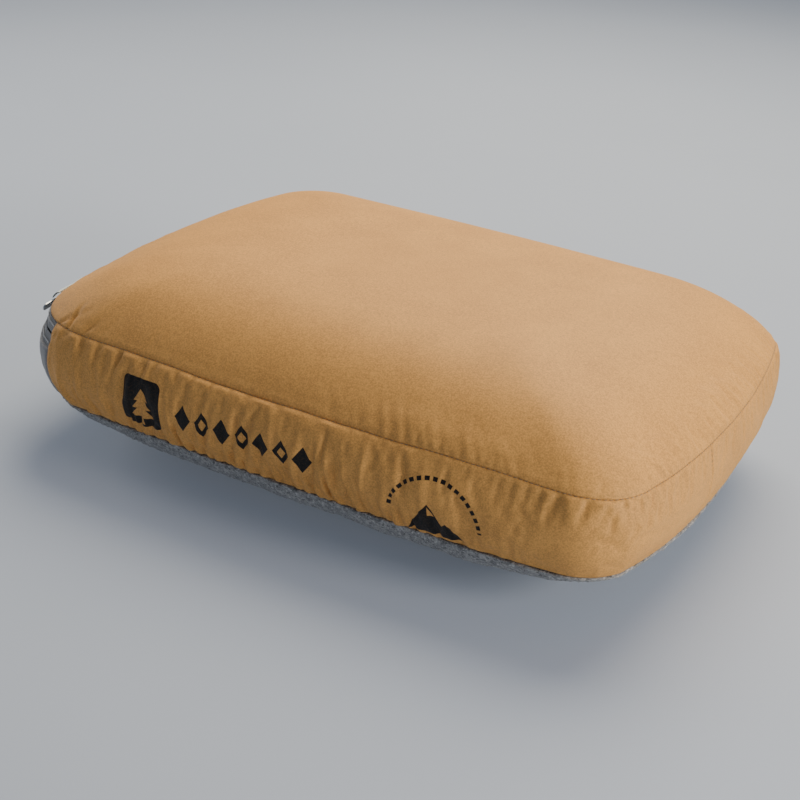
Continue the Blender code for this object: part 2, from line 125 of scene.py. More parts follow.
def plan_arcs():
    """The arcs round the top seam: centre, radius, first angle and turn of each."""
    end_x, side_y = SEAM_X - END_RADIUS, SEAM_Y - SIDE_RADIUS
    (x, y), end, side = corner_fit(CORNER_RADIUS)
    (soft_x, soft_y), soft_end, soft_side = corner_fit(SOFT_CORNER_RADIUS)
    quarter = math.pi / 2
    turn, soft_half = quarter - end - side, (quarter - soft_end - soft_side) / 2
    return [((-soft_x, -soft_y), SOFT_CORNER_RADIUS, math.pi + soft_end + soft_half, soft_half),
            ((0, -side_y), SIDE_RADIUS, 3 * quarter - soft_side, soft_side + side),
            ((x, -y), CORNER_RADIUS, 3 * quarter + side, turn),
            ((end_x, 0), END_RADIUS, -end, 2 * end),
            ((x, y), CORNER_RADIUS, end, turn),
            ((0, side_y), SIDE_RADIUS, quarter - side, 2 * side),
            ((-x, y), CORNER_RADIUS, quarter + side, turn),
            ((-end_x, 0), END_RADIUS, math.pi - end, end + soft_end),
            ((-soft_x, -soft_y), SOFT_CORNER_RADIUS, math.pi + soft_end, soft_half)]


ARCS = plan_arcs()
ARC_CENTRES = np.array([arc[0] for arc in ARCS])
ARC_RADII = np.array([arc[1] for arc in ARCS])
ARC_ANGLES = np.array([arc[2] for arc in ARCS])
ARC_LENGTHS = ARC_RADII * np.array([arc[3] for arc in ARCS])
ARC_STARTS = np.concatenate(([0.0], np.cumsum(ARC_LENGTHS)))
PERIMETER = ARC_STARTS[-1]
CORNERS = np.array([0.0] + [ARC_STARTS[i] + ARC_LENGTHS[i] / 2 for i in (2, 4, 6)] + [PERIMETER])
FRONT_MIDDLE = ARC_STARTS[1] + ARC_RADII[1] * (3 * math.pi / 2 - ARC_ANGLES[1])
FRONT_PANEL_SEAM = PANEL_SEAM_ANGLE * SOFT_CORNER_RADIUS - ARC_LENGTHS[8]
BACK_PANEL_SEAM = ARC_STARTS[7] - PANEL_SEAM_ANGLE * CORNER_RADIUS
BAND_JOIN = ARC_STARTS[3] + (math.asin(BAND_JOIN_Y / END_RADIUS) - ARC_ANGLES[3]) * END_RADIUS


def outline(position):
    """Points on the top seam line and their outward directions, by length along it."""
    position = np.mod(position, PERIMETER)
    i = np.clip(np.searchsorted(ARC_STARTS, position, side="right") - 1, 0, len(ARCS) - 1)
    angle = ARC_ANGLES[i] + (position - ARC_STARTS[i]) / ARC_RADII[i]
    out = np.stack((np.cos(angle), np.sin(angle)), -1)
    return ARC_CENTRES[i] + ARC_RADII[i][..., None] * out, out


def seam_wave(position):
    """The slight rise and fall of the hand-fed top seam."""
    wave = np.zeros_like(position)
    for waves, size, phase in ((5, 0.0006, 0.4), (13, 0.0003, 1.9), (31, 0.00015, 4.1)):
        wave = wave + size * np.sin(2 * np.pi * waves * position / PERIMETER + phase)
    return wave


def apart(position, place):
    """Length along the seam from a place to a position, the shorter way round."""
    return np.mod(position - place + PERIMETER / 2, PERIMETER) - PERIMETER / 2


def near(position, place, width):
    """1 at a place along the seam, falling smoothly to 0 on both sides."""
    return np.exp(-(apart(position, place) / width)**2)


def bottom_inset(position):
    """How far the bottom seam lies inside the top one. The plain end's corners pull in more."""
    front, back = (near(position, CORNERS[i], PULL_SPAN) for i in (1, 2))
    return BOTTOM_INSET + FRONT_PULL * front + BACK_PULL * back


def band_offset(position, share):
    """How far the band stands out from the top seam line, at a share of its height."""
    bulge = BAND_BULGE * (1 - END_FLATNESS * near(position, (CORNERS[1] + CORNERS[2]) / 2, END_SPAN))
    return bulge * 4 * share * (1 - share) - bottom_inset(position) * (1 - share)


def seam_height(position, share):
    """Height of a line round the band, from the bottom seam at 0 to the wavy top seam at 1."""
    return BOTTOM_SEAM_Z + share * BAND_HEIGHT + seam_wave(position) * share**2


def band_points(position, share):
    """Points on the smooth band at lengths along it and shares of its height."""
    seam, out = outline(position)
    plan = seam + out * band_offset(position, share)[..., None]
    return np.concatenate((plan, seam_height(position, share)[..., None]), -1)


def square_to_seam(u, v):
    """Ring share, and length along the seam, for points of a square patch from -1 to 1."""
    ring = np.maximum(np.abs(u), np.abs(v))
    safe = np.maximum(ring, 1e-9)
    across, deep = u / safe, v / safe
    spans = np.diff(CORNERS)
    sides = [deep <= -np.abs(across), across >= np.abs(deep), deep >= np.abs(across)]
    shares = (across, deep, -across, -deep)
    places = [CORNERS[i] + (share + 1) / 2 * spans[i] for i, share in enumerate(shares)]
    return ring, np.select(sides, places[:3], places[3])


def crown_points(u, v):
    """Points on the smooth top panel."""
    ring, position = square_to_seam(u, v)
    seam, _ = outline(position)
    rise = (1 - ring**CROWN_POWER)**CROWN_SOFTNESS
    z = TOP_SEAM_Z + CROWN * rise + seam_wave(position) * ring**8
    return np.concatenate((seam * ring[..., None], z[..., None]), -1)


def belly_points(u, v):
    """Points on the smooth underside, which is flat in its middle."""
    ring, position = square_to_seam(u, v)
    seam, out = outline(position)
    rim = seam - out * bottom_inset(position)[..., None]
    turn = np.clip((1 - ring) / (1 - FLAT_RING), 0, 1) * math.pi / 2
    corner = sum(near(position, place, 0.055) for place in CORNERS[:4])
    inward = (1 - np.cos(turn))**(0.88 - 0.22 * corner)
    scale = np.where(ring >= FLAT_RING, 1 - inward * (1 - FLAT_SHARE), FLAT_SHARE * ring / FLAT_RING)
    z = BELLY_LOW.z + (BOTTOM_SEAM_Z - BELLY_LOW.z) * (1 - np.sin(turn))
    return np.concatenate((rim * scale[..., None], z[..., None]), -1)


# Where the sewing gathers extra cloth: (length along the seam from the front's middle, share)
LOWER_GATHERS = [(-0.26, 0.3), (-0.21, 0.35), (-0.17, 0.55), (-0.10, 0.85), (-0.03, 1.0), (0.05, 1.0),
                 (0.10, 0.7), (0.13, 0.3), (0.17, 0.06), (0.30, 0.06), (0.42, 0.2), (0.50, 0.45),
                 (0.62, 0.7), (0.90, 0.6), (1.0, 0.3)]
UPPER_GATHERS = [(-0.26, 0.5), (-0.21, 0.6), (-0.17, 0.45), (-0.08, 0.35), (0.02, 0.12), (0.14, 0.05),
                 (0.17, 0.5), (0.20, 1.0), (0.235, 1.0), (0.26, 0.45), (0.32, 0.15), (0.36, 0.3),
                 (0.42, 0.2), (0.50, 0.6), (0.75, 0.35), (0.92, 0.4), (1.0, 0.3)]
CROWN_GATHERS = [(-0.26, 0.8), (-0.235, 0.6), (-0.20, 0.1), (0.00, 0.08), (0.05, 0.25), (0.08, 0.85),
                 (0.12, 0.75), (0.15, 0.2), (0.21, 0.2), (0.235, 0.7), (0.26, 0.8), (0.30, 0.5),
                 (0.33, 0.9), (0.38, 0.9), (0.42, 0.3), (0.50, 0.4), (0.75, 0.25), (0.95, 0.3), (1.0, 0.3)]


def gathered(knots, position):
    """Reads a list of gathers at lengths along the seam, blended round the whole of it."""
    first = knots[0][0]
    ahead = np.mod(position - FRONT_MIDDLE - first, PERIMETER) + first
    return np.interp(ahead, *zip(*knots))


# Single creases, mostly at the zipped end's front corner: place, width, reach, size, lean and bend
CORNER_CREASES = [(0.017, 0.0021, 0.017, -1.9, 0.75, 0.0), (0.028, 0.0021, 0.017, -1.9, -0.75, 0.0),
                  (0.040, 0.0026, 0.012, -1.2, 0.30, 0.0)]
BAND_CREASES = [(0.041, 0.0026, 0.011, -1.3, 0.10, 0.0), (0.076, 0.0022, 0.034, -1.0, -0.30, 0.0),
                (0.096, 0.0022, 0.026, -0.9, -0.12, 0.0)]


def pick_folds(knots, spacing, reach, seed):
    """Single small folds that the gathering leaves: place, width, reach, size, lean and bend of each."""
    draw = np.random.default_rng(seed)
    folds = []
    place = 0.0
    while place < PERIMETER:
        share = float(gathered(knots, np.array(place)))
        width = draw.uniform(*FOLD_WIDTHS)
        length = reach * draw.uniform(0.35, 1.0) * (0.55 + 0.45 * share)
        size = draw.uniform(0.35, 1.0) * share
        folds.append((place, width, length, size, draw.uniform(*FOLD_LEANS), draw.uniform(*FOLD_BENDS)))
        place += spacing * draw.uniform(0.6, 1.5)
    return folds


def fold_relief(folds, place, rise, height):
    """Height of the folds off the smooth cloth, at places along the seam and distances from it."""
    relief = np.zeros(place.shape)
    for at, width, reach, size, lean, bend in folds:
        aside = apart(place, at)
        close = np.abs(aside) < WIDEST_FOLD
        up = rise[close]
        spread = width * (0.75 + 0.7 * up / reach)
        drift = (aside[close] - lean * up - bend * np.exp(-up / 0.006)) / spread
        fade = np.clip(1 - up / reach, 0, 1)**0.75 * (1 - np.exp(-up / 0.0014))
        relief[close] += size * height * fade * (1 - 0.8 * drift**2) * np.exp(-drift**2)
    return relief


def square_lines(across, deep):
    return np.meshgrid(np.linspace(-1, 1, across + 1), np.linspace(-1, 1, deep + 1))


def rim_indices(across, deep):
    """Grid indices round the edge of a square patch, anticlockwise from its first corner."""
    width = across + 1
    front = list(range(across))
    right = [j * width + across for j in range(deep)]
    back = [deep * width + i for i in range(across, 0, -1)]
    left = [j * width for j in range(deep, 0, -1)]
    return np.array(front + right + back + left)


def grid_faces(rows, columns, wrap=False):
    """Quads between rows of a grid, by vertex index."""
    row = np.arange(rows - 1)[:, None]
    column = np.arange(columns if wrap else columns - 1)[None, :]
    here = row * columns + column
    beside = row * columns + (column + 1) % columns
    return np.stack((here, beside, beside + columns, here + columns), -1).reshape(-1, 4)


def first_ripples(place, height, seed):
    """Small uneven ripples across the seams, from which the folds grow."""
    ripples = np.zeros_like(place)
    draw = np.random.default_rng(seed)
    for pitch, size in ((0.0075, 0.0005), (0.0105, 0.0006), (0.0150, 0.0005), (0.0230, 0.0004)):
        turns = 2 * np.pi * place / PERIMETER
        lean = 0.22 * np.sin(draw.integers(3, 6) * turns + draw.uniform(0, 6)) - 0.05
        sway = 1.3 * np.sin(9 * turns + draw.uniform(0, 6))
        phase = round(PERIMETER / pitch) * turns + 2 * np.pi * lean * height / pitch + sway
        strength = 0.55 + 0.45 * np.sin(draw.integers(14, 40) * turns + draw.uniform(0, 6))
        ripples += size * strength * np.sin(phase + draw.uniform(0, 6))
    return ripples


def add_object(name, data):
    made = bpy.data.objects.new(name, data)
    bpy.context.scene.collection.objects.link(made)
    return made


CLOTH = {"quality": 5, "mass": 0.02, "air_damping": 2.0, "tension_stiffness": 15,
         "compression_stiffness": 15, "shear_stiffness": 5, "bending_stiffness": 0.4,
         "tension_damping": 0.3, "compression_damping": 0.3, "shear_damping": 0.3, "bending_damping": 0.05,
         "vertex_group_mass": "hold", "vertex_group_shrink": "tautness", "shrink_min": -FULLNESS,
         "shrink_max": 0, "use_pressure": True, "uniform_pressure_force": 4}
WEIGHT_STEPS = 40


def settle(vertices, faces, hold, fullness):
    """Lets the sewn cloth find its folds: held along its seams, full where it is gathered."""
    mesh = bpy.data.meshes.new("settling")
    mesh.from_pydata(vertices.tolist(), [], faces.tolist())
    cloth_object = add_object("settling", mesh)
    for label, weights in (("hold", hold), ("tautness", 1 - fullness)):
        group = cloth_object.vertex_groups.new(name=label)
        levels = np.round(weights * WEIGHT_STEPS).astype(int)
        for level in np.unique(levels):
            group.add(np.nonzero(levels == level)[0].tolist(), level / WEIGHT_STEPS, "REPLACE")
    cloth = cloth_object.modifiers.new("cloth", "CLOTH")
    for key, value in CLOTH.items():
        setattr(cloth.settings, key, value)
    cloth.settings.effector_weights.gravity = 0
    cloth.collision_settings.use_collision = False
    scene = bpy.context.scene
    cloth.point_cache.frame_start, cloth.point_cache.frame_end = 1, SIM_FRAMES
    for step in range(1, SIM_FRAMES + 1):
        scene.frame_set(step)
    settled = cloth_object.evaluated_get(bpy.context.evaluated_depsgraph_get()).data
    moved = np.empty(len(vertices) * 3)
    settled.vertices.foreach_get("co", moved)
    bpy.data.objects.remove(cloth_object)
    scene.frame_set(1)
    return moved.reshape(-1, 3)


def one_cloth(crown, band):
    """Values on the crown's grid, then on the band's grid below the seam that they share."""
    return np.concatenate((crown.reshape(-1, *crown.shape[2:]), band[1:].reshape(-1, *band.shape[2:])))


def settled_cover():
    """How far the cloth of the crown and of the band moves from its smooth shape."""
    u, v = square_lines(SIM_ACROSS, SIM_DEEP)
    crown = crown_points(u, v)
    crown_ring, crown_place = square_to_seam(u, v)
    rim = rim_indices(SIM_ACROSS, SIM_DEEP)
    columns = crown_place.reshape(-1)[rim]
    columns[0] = 0.0
    place, share = np.meshgrid(columns, np.linspace(1, 0, SIM_ROWS + 1))
    band = band_points(place, share)
    lookup = np.concatenate((rim, crown_ring.size + np.arange(SIM_ROWS * len(rim))))
    band_faces = lookup[grid_faces(SIM_ROWS + 1, len(rim), wrap=True)][:, ::-1]
    faces = np.concatenate((grid_faces(SIM_DEEP + 1, SIM_ACROSS + 1), band_faces))
    inward = (1 - crown_ring) * SEAM_Y
    crown_full = CROWN_EASE * gathered(CROWN_GATHERS, crown_place) * np.clip(1 - inward / CROWN_REACH, 0, 1)
    near_top = np.clip(1 - (1 - share) / 0.45, 0, 1)
    near_bottom = np.clip(1 - share / 0.95, 0, 1)**0.7
    band_full = np.maximum(gathered(UPPER_GATHERS, place) * near_top,
                           gathered(LOWER_GATHERS, place) * near_bottom)
    crown_hold = np.where(crown_ring > 0.999, 1.0, np.clip(inward / CROWN_FREE, 0, 1) * 0.9)
    band_hold = np.where((share > 0.999) | (share < 0.001), 1.0, 0.0)
    hold, fullness = one_cloth(crown_hold, band_hold), one_cloth(crown_full, band_full)
    smooth = one_cloth(crown, band)
    out = one_cloth(grid_normals(crown), -grid_normals(band))
    start = one_cloth(first_ripples(crown_place, crown_ring * SEAM_Y, 1),
                      first_ripples(place, share * BAND_HEIGHT, 2))
    moved = settle(smooth + out * (start * fullness)[:, None], faces, hold, fullness) - smooth
    length = np.linalg.norm(moved, axis=1, keepdims=True)
    moved *= CAP * np.tanh(length / CAP) / np.maximum(length, 1e-9)
    depth = (moved * out).sum(1, keepdims=True)
    moved += out * (np.maximum(depth, -PRESS) - depth)
    crown_moved = moved[:crown_ring.size].reshape(crown.shape)
    band_moved = moved[crown_ring.size:].reshape(SIM_ROWS, len(rim), 3)
    return crown_moved, np.concatenate((moved[rim][None], band_moved))


def read_weights(places, count, wrap=False):
    """Catmull-Rom weights that read an even row of count points at places counted in points."""
    low = np.floor(places).astype(int)
    if not wrap:
        low = np.clip(low, 0, count - 2)
    f = places - low
    parts = (-f * (1 - f)**2 / 2, (2 - 5 * f**2 + 3 * f**3) / 2, f * (1 + 4 * f - 3 * f**2) / 2,
             -f**2 * (1 - f) / 2)
    weights = np.zeros((len(places), count))
    for step, part in zip((-1, 0, 1, 2), parts):
        index = (low + step) % count if wrap else np.clip(low + step, 0, count - 1)
        np.add.at(weights, (np.arange(len(places)), index), part)
    return weights


def even_lines(length, step, edge=(0.0, 0.0006, 0.0013, 0.0022, 0.0034)):
    """Shares from 0 to 1 over a length, with closer lines at both ends."""
    inner = np.linspace(edge[-1], length - edge[-1], max(2, round((length - 2 * edge[-1]) / step)))
    lines = np.concatenate((edge[:-1], inner, length - np.array(edge[:-1])[::-1]))
    return lines / length


def patch_lines(step):
    """Lines across and along a square patch, from -1 to 1, closer together near its seam."""
    return [2 * even_lines(2 * half, step) - 1 for half in (SEAM_X, SEAM_Y)]


def read_grid(up, moved, along):
    """Reads a settled grid with weights for its rows and for its columns."""
    return np.einsum("ij,jkc,lk->ilc", up, moved, along)


def grid_normals(points):
    """Unit normals of a grid of points, whose rows and columns turn anticlockwise."""
    along = np.gradient(points, axis=1)
    across = np.gradient(points, axis=0)
    normal = np.cross(along, across)
    return normal / np.maximum(np.linalg.norm(normal, axis=-1, keepdims=True), 1e-12)


def smooth_noise(points, size, seed):
    """Repeatable soft noise from -1 to 1 at points, with features of a given size."""
    shift = Vector((seed * 7.3, seed * 3.1, seed * 5.7))
    return np.array([noise.noise(Vector(point) / size + shift) for point in points])


# Materials

class Field:
    """A shader socket that takes part in arithmetic."""

    def __init__(self, finish, socket):
        self.finish = finish
        self.socket = socket

    def math(self, operation, *others, clamp=False):
        values = dict(enumerate((self,) + others))
        return self.finish.add("Math", {"operation": operation, "use_clamp": clamp}, values)

    def __add__(self, other):
        return self.math("ADD", other)

    def __sub__(self, other):
        return self.math("SUBTRACT", other)

    def __rsub__(self, other):
        return self.finish.add("Math", {"operation": "SUBTRACT"}, {0: other, 1: self})

    def __mul__(self, other):
        return self.math("MULTIPLY", other)

    def __truediv__(self, other):
        return self.math("DIVIDE", other)

    __radd__ = __add__
    __rmul__ = __mul__

    def low(self, other):
        return self.math("MINIMUM", other)

    def high(self, other):
        return self.math("MAXIMUM", other)

    def step(self, start, stop):
        """0 below start, 1 above stop, and smooth between."""
        settings = {"interpolation_type": "SMOOTHSTEP", "clamp": True}
        values = {"Value": self, "From Min": start, "From Max": stop}
        if start < stop:
            return self.finish.add("MapRange", settings, values)
        values.update({"From Min": stop, "From Max": start, "To Min": 1.0, "To Max": 0.0})
        return self.finish.add("MapRange", settings, values)


class Finish:
    """One material and the nodes that make it."""

    def __init__(self, name):
        self.material = bpy.data.materials.new(name)
        self.material.use_nodes = True
        self.nodes = self.material.node_tree.nodes
        self.nodes.clear()

    def feed(self, socket, value):
        if isinstance(value, Field):
            self.material.node_tree.links.new(value.socket, socket)
        elif isinstance(value, (tuple, list)) and len(value) == 3 and socket.type == "RGBA":
            socket.default_value = (*value, 1)
        else:
            socket.default_value = value

    def add(self, kind, settings=None, values=None, output=0):
        node = self.nodes.new("ShaderNode" + kind)
        for key, value in (settings or {}).items():
            setattr(node, key, value)
        for key, value in (values or {}).items():
            self.feed(node.inputs[key], value)
        return Field(self, node.outputs[output]) if node.outputs else node

    def place(self):
        return self.add("TexCoord", output="Object")

    def axes(self, where=None):
        """The three coordinates of a place, each on its own."""
        split = self.add("SeparateXYZ", None, {0: where or self.place()}).socket.node
        return [Field(self, socket) for socket in split.outputs]

    def noise(self, size, detail=2.0, roughness=0.5, where=None, stretch=None):
        """Noise from 0 to 1 with features of a given size in metres."""
        where = where or self.place()
        if stretch:
            where = self.add("VectorMath", {"operation": "MULTIPLY"}, {0: where, 1: stretch})
        values = {"Vector": where, "Scale": 1 / size, "Detail": detail, "Roughness": roughness}
        return self.add("TexNoise", None, values)

    def mix(self, factor, a, b):
        """A colour between two colours."""
        return self.add("Mix", {"data_type": "RGBA"}, {0: factor, 6: a, 7: b}, output=2)

    def bump(self, height, distance, strength=1.0, under=None):
        values = {"Height": height, "Distance": distance, "Strength": strength}
        if under:
            values["Normal"] = under
        return self.add("Bump", None, values)

    def surface(self, colour, roughness, normal=None, **fixed):
        values = {"Base Color": colour, "Roughness": roughness}
        if normal:
            values["Normal"] = normal
        values.update({key.replace("_", " "): value for key, value in fixed.items()})
        shader = self.add("BsdfPrincipled", None, values)
        self.add("OutputMaterial", None, {"Surface": shader})
        return self.material


TAN_LIGHT, TAN_DEEP = (0.82, 0.415, 0.112), (0.52, 0.255, 0.072)
INK = (0.004, 0.004, 0.004)


def plain_weave(finish, pitch):
    """Height of an over-and-under weave across the three box directions of the cloth."""
    x, y, z = [(axis * (2 * math.pi / pitch)).math("SINE") for axis in finish.axes()]
    return x * y + y * z + z * x


def brushed_tan(name, ink=None):
    """Fine brushed cloth: soft mottling, short nap and a faint weave."""
    finish = Finish(name)
    mottle = finish.noise(0.035, 3.0, 0.55)
    grain = finish.noise(0.0010, 3.0, 0.70)
    nap = finish.noise(0.0026, 2.0, 0.6)
    shade = (mottle - 0.5) * 0.5 + (grain - 0.5) * 2.2 + (nap - 0.5) * 0.45 + 0.5
    colour = finish.mix(shade.step(0.0, 1.0), TAN_DEEP, TAN_LIGHT)
    roughness = 0.62 + (grain - 0.5) * 0.25
    weave = plain_weave(finish, 0.0007)
    normal = finish.bump(weave, 0.00004, 0.35)
    normal = finish.bump(grain * 0.8 + nap * 0.2, 0.00030, 0.30, normal)
    if ink:
        mask = ink(finish)
        rubbed = mask * (1.0 + (grain - 0.5) * 0.4).low(1.0)
        colour = finish.mix(rubbed, colour, INK)
        roughness = roughness - mask * 0.12
    return finish.surface(colour, roughness, normal, Specular_IOR_Level=0.25, Sheen_Weight=0.03,
                          Sheen_Roughness=0.4, Sheen_Tint=(0.9, 0.6, 0.35, 1))


def prints(finish):
    """The plain prints on the front band: a pine badge, a row of lozenges, and hills under an arc."""
    x, z, _ = finish.axes(finish.add("UVMap", {"uv_map": "band"}))
    edge = 0.00015

    def inside(distance):
        return distance.step(edge, -edge)

    def length(dx, dz):
        return (dx * dx + dz * dz).math("SQRT")

    def rounded(cx, cz, half_x, half_z, radius):
        """A block with rounded corners."""
        dx = ((x - cx).math("ABSOLUTE") - (half_x - radius)).high(0.0)
        dz = ((z - cz).math("ABSOLUTE") - (half_z - radius)).high(0.0)
        return length(dx, dz) - radius

    def peak(cx, base, half_base, height):
        """A triangle that stands on its base."""
        slope = height / half_base
        side = ((x - cx).math("ABSOLUTE") * slope + (z - base) - height) / math.hypot(slope, 1)
        return side.high(base - z)

    badge_x, print_z = -0.1040, 0.0275
    badge = inside(rounded(badge_x, print_z, 0.0148, 0.0162, 0.0042))
    pine = inside(rounded(badge_x, 0.0160, 0.0013, 0.0030, 0.0004))
    for tier in ((0.0175, 0.0088, 0.0100), (0.0235, 0.0070, 0.0088), (0.0290, 0.0052, 0.0080)):
        pine = pine.high(inside(peak(badge_x, *tier)))
    mask = badge * (1 - pine)
    # A row of plain lozenges, every other one hollow
    pitch, first, count = 0.0146, -0.0790, 7
    steepness, half_height, hollow_height = 1.45, 0.0086, 0.0040
    run = (x - first) / pitch
    local = (run.math("FRACT") - 0.5) * pitch
    on_run = run.step(-0.001, 0.001) * run.step(count + 0.001, count - 0.001)
    hollow = (run * 0.5).math("FRACT").step(0.499, 0.501)
    reach = local.math("ABSOLUTE") * steepness + (z - print_z).math("ABSOLUTE")
    lozenge = inside(reach - half_height) * (1 - inside(reach - hollow_height) * hollow)
    mask = mask.high(lozenge * on_run)
    # Two hills, the taller one with a pale slope near its top
    hill_x, hill_base = 0.0985, 0.0042
    tall = inside(peak(hill_x, hill_base, 0.0150, 0.0225))
    hills = tall.high(inside(peak(0.1095, 0.0040, 0.0100, 0.0125)))
    pale = inside(peak(hill_x, 0.0185, 0.0041, 0.0062)) * (x - hill_x).step(-edge, edge)
    mask = mask.high(hills * (1 - pale))
    # Arc of dashes over the hills
    arc_x, arc_z, arc_radius, dashes = 0.1020, 0.0135, 0.0290, 19
    dx, dz = x - arc_x, z - arc_z
    around = dz.math("ARCTAN2", dx)
    turn = (around * (dashes / math.pi)).math("FRACT")
    dash = turn.step(0.30, 0.36) * turn.step(0.96, 0.90)
    ring = (length(dx, dz) - arc_radius).math("ABSOLUTE").step(0.0014, 0.0011)
    return mask.high(ring * dash * around.step(0.10, 0.12) * around.step(3.04, 3.02))


def grey_fleece(name):
    """Melange fleece: clumped pile in dark and pale greys."""
    finish = Finish(name)
    clumps = finish.noise(0.0042, 3.0, 0.6)
    fibres = finish.noise(0.0011, 4.0, 0.7)
    flecks = finish.noise(0.0016, 1.0, 0.5, stretch=(1.0, 0.45, 1.0))
    pale = (fibres * 0.55 + clumps * 0.45).step(0.36, 0.66)
    colour = finish.mix(pale, (0.135, 0.134, 0.130), (0.47, 0.465, 0.450))
    colour = finish.mix(flecks.step(0.58, 0.72) * 0.65, colour, (0.68, 0.67, 0.64))
    colour = finish.mix(flecks.step(0.42, 0.30) * 0.70, colour, (0.050, 0.050, 0.050))
    normal = finish.bump(clumps, 0.0016, 0.7)
    normal = finish.bump(fibres, 0.0009, 0.8, normal)
    return finish.surface(colour, 0.95, normal, Specular_IOR_Level=0.2, Sheen_Weight=0.3,
                          Sheen_Roughness=0.6, Sheen_Tint=(0.85, 0.87, 0.9, 1))


def grey_cloth(name):
    finish = Finish(name)
    mottle = finish.noise(0.02, 2.0)
    grain = finish.noise(0.0009, 3.0, 0.6)
    shade = (mottle * 0.4 + grain * 0.6).step(0.25, 0.75)
    colour = finish.mix(shade, (0.19, 0.19, 0.195), (0.30, 0.30, 0.305))
    normal = finish.bump(plain_weave(finish, 0.0008), 0.00006, 0.5)
    normal = finish.bump(grain, 0.0003, 0.3, normal)
    return finish.surface(colour, 0.72 + grain * 0.12, normal, Sheen_Weight=0.25, Sheen_Roughness=0.5)


def zip_tape(name):
    """Knitted tape with ribs along it."""
    finish = Finish(name)
    ribs = (finish.axes()[2] * (2 * math.pi / 0.0011)).math("SINE")
    grain = finish.noise(0.0007, 2.0, 0.6)
    colour = finish.mix((ribs * 0.12 + grain).step(0.2, 0.8), (0.115, 0.122, 0.130), (0.195, 0.204, 0.215))
    normal = finish.bump(ribs, 0.00008, 0.7)
    normal = finish.bump(grain, 0.00020, 0.5, normal)
    return finish.surface(colour, 0.78, normal, Sheen_Weight=0.2, Sheen_Roughness=0.5)


def one_texture(name, size, deep, light, shine, bump, detail=2.0, roughness=0.5, stretch=None, **fixed):
    """A finish whose colour, shine and surface all follow one noise."""
    finish = Finish(name)
    texture = finish.noise(size, detail, roughness, stretch=stretch)
    colour = finish.mix(texture, deep, light)
    dullness, spread = shine
    return finish.surface(colour, dullness + texture * spread, finish.bump(texture, *bump), **fixed)


def thread(name, deep, light):
    return one_texture(name, 0.00045, deep, light, (0.55, 0.2), (0.0001, 0.8), roughness=0.6,
                       Sheen_Weight=0.3)


def coil_nylon(name):
    return one_texture(name, 0.003, (0.12, 0.125, 0.135), (0.19, 0.195, 0.205), (0.34, 0.12),
                       (0.00005, 0.4), Coat_Weight=0.15)


def plated_metal(name):
    """Nickel-plated zinc with fine scuffs."""
    finish = Finish(name)
    scuffs = finish.noise(0.0006, 4.0, 0.7, stretch=(1.0, 6.0, 1.0))
    cloud = finish.noise(0.004, 2.0)
    colour = finish.mix(cloud, (0.46, 0.47, 0.48), (0.62, 0.63, 0.64))
    roughness = 0.24 + scuffs * 0.22
    return finish.surface(colour, roughness, finish.bump(scuffs, 0.00003, 0.5), Metallic=1.0)


def label_satin(name):
    """Pale woven satin with fine ribs."""
    return one_texture(name, 0.0006, (0.60, 0.68, 0.65), (0.78, 0.84, 0.82), (0.38, 0.15),
                       (0.0001, 0.5), roughness=0.6, stretch=(1.0, 5.0, 1.0), Sheen_Weight=0.2)


def pillow_foam(name):
    """Slow-recovery foam with fine open cells."""
    finish = Finish(name)
    cells = finish.add("TexVoronoi", None, {"Vector": finish.place(), "Scale": 900.0})
    cloud = finish.noise(0.03, 3.0)
    colour = finish.mix(cells.step(0.1, 0.7), (0.62, 0.54, 0.36), (0.78, 0.71, 0.52))
    colour = finish.mix(cloud * 0.3, colour, (0.66, 0.56, 0.36))
    return finish.surface(colour, 0.92, finish.bump(cells, 0.0006, 0.6), Subsurface_Weight=0.1)


def liner_knit(name):
    """White jersey with rows of small loops."""
    finish = Finish(name)
    loops = plain_weave(finish, 0.0014)
    grain = finish.noise(0.001, 2.0)
    colour = finish.mix((loops * 0.2 + grain).step(0.0, 1.0), (0.60, 0.60, 0.57), (0.80, 0.80, 0.78))
    return finish.surface(colour, 0.85, finish.bump(loops, 0.0002, 0.6), Sheen_Weight=0.2)


# Pieces

def finish_piece(name, mesh, material, body="pillow"):
    mesh.materials.append(material)
    mesh.shade_smooth()
    piece = add_object(name, mesh)
    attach(piece, body)
    return piece


def make_piece(name, vertices, faces, material):
    mesh = bpy.data.meshes.new(name)
    faces = faces.tolist() if isinstance(faces, np.ndarray) else faces
    mesh.from_pydata(np.asarray(vertices).tolist(), [], faces)
    return finish_piece(name, mesh, material)


def stand_for(node):
    """Hides the CAD piece that this one replaces."""
    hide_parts(node)


def thicken(piece, thickness):
    solidify = piece.modifiers.new("thickness", "SOLIDIFY")
    solidify.thickness, solidify.offset = thickness, 0


def sewn_patch(name, points, position, share, material):
    """A square patch whose edge turns in through the top seam (share 1) or the bottom one (0)."""
    deep, across = points.shape[:2]
    flat = points.reshape(-1, 3)
    rim = rim_indices(across - 1, deep - 1)
    place = position.reshape(-1)[rim]
    _, out = outline(place)
    seam_z = seam_height(place, share)
    mouth = SEAM_MOUTH * (2 * share - 1)
    flat[rim, 2] = seam_z + mouth
    rows = tucked_edge(flat[rim], out, seam_z + mouth / 2)
    lookup = np.concatenate((rim, len(flat) + np.arange(2 * len(rim))))
    turned = lookup[grid_faces(3, len(rim), wrap=True)][:, ::-1]
    faces = np.concatenate((grid_faces(deep, across), turned))
    return make_piece(name, np.concatenate([flat] + rows), faces if share else faces[:, ::-1], material)


def tucked_edge(edge, out, seam_z):
    """Two rows that turn a sewn edge in through the seam."""
    inward = np.concatenate((-out, np.zeros((len(out), 1))), 1)
    rows = []
    for depth, close in ((0.0011, 0.55), (TUCK, 1.0)):
        row = edge + inward * depth
        row[:, 2] += (seam_z - row[:, 2]) * close
        rows.append(row)
    return rows


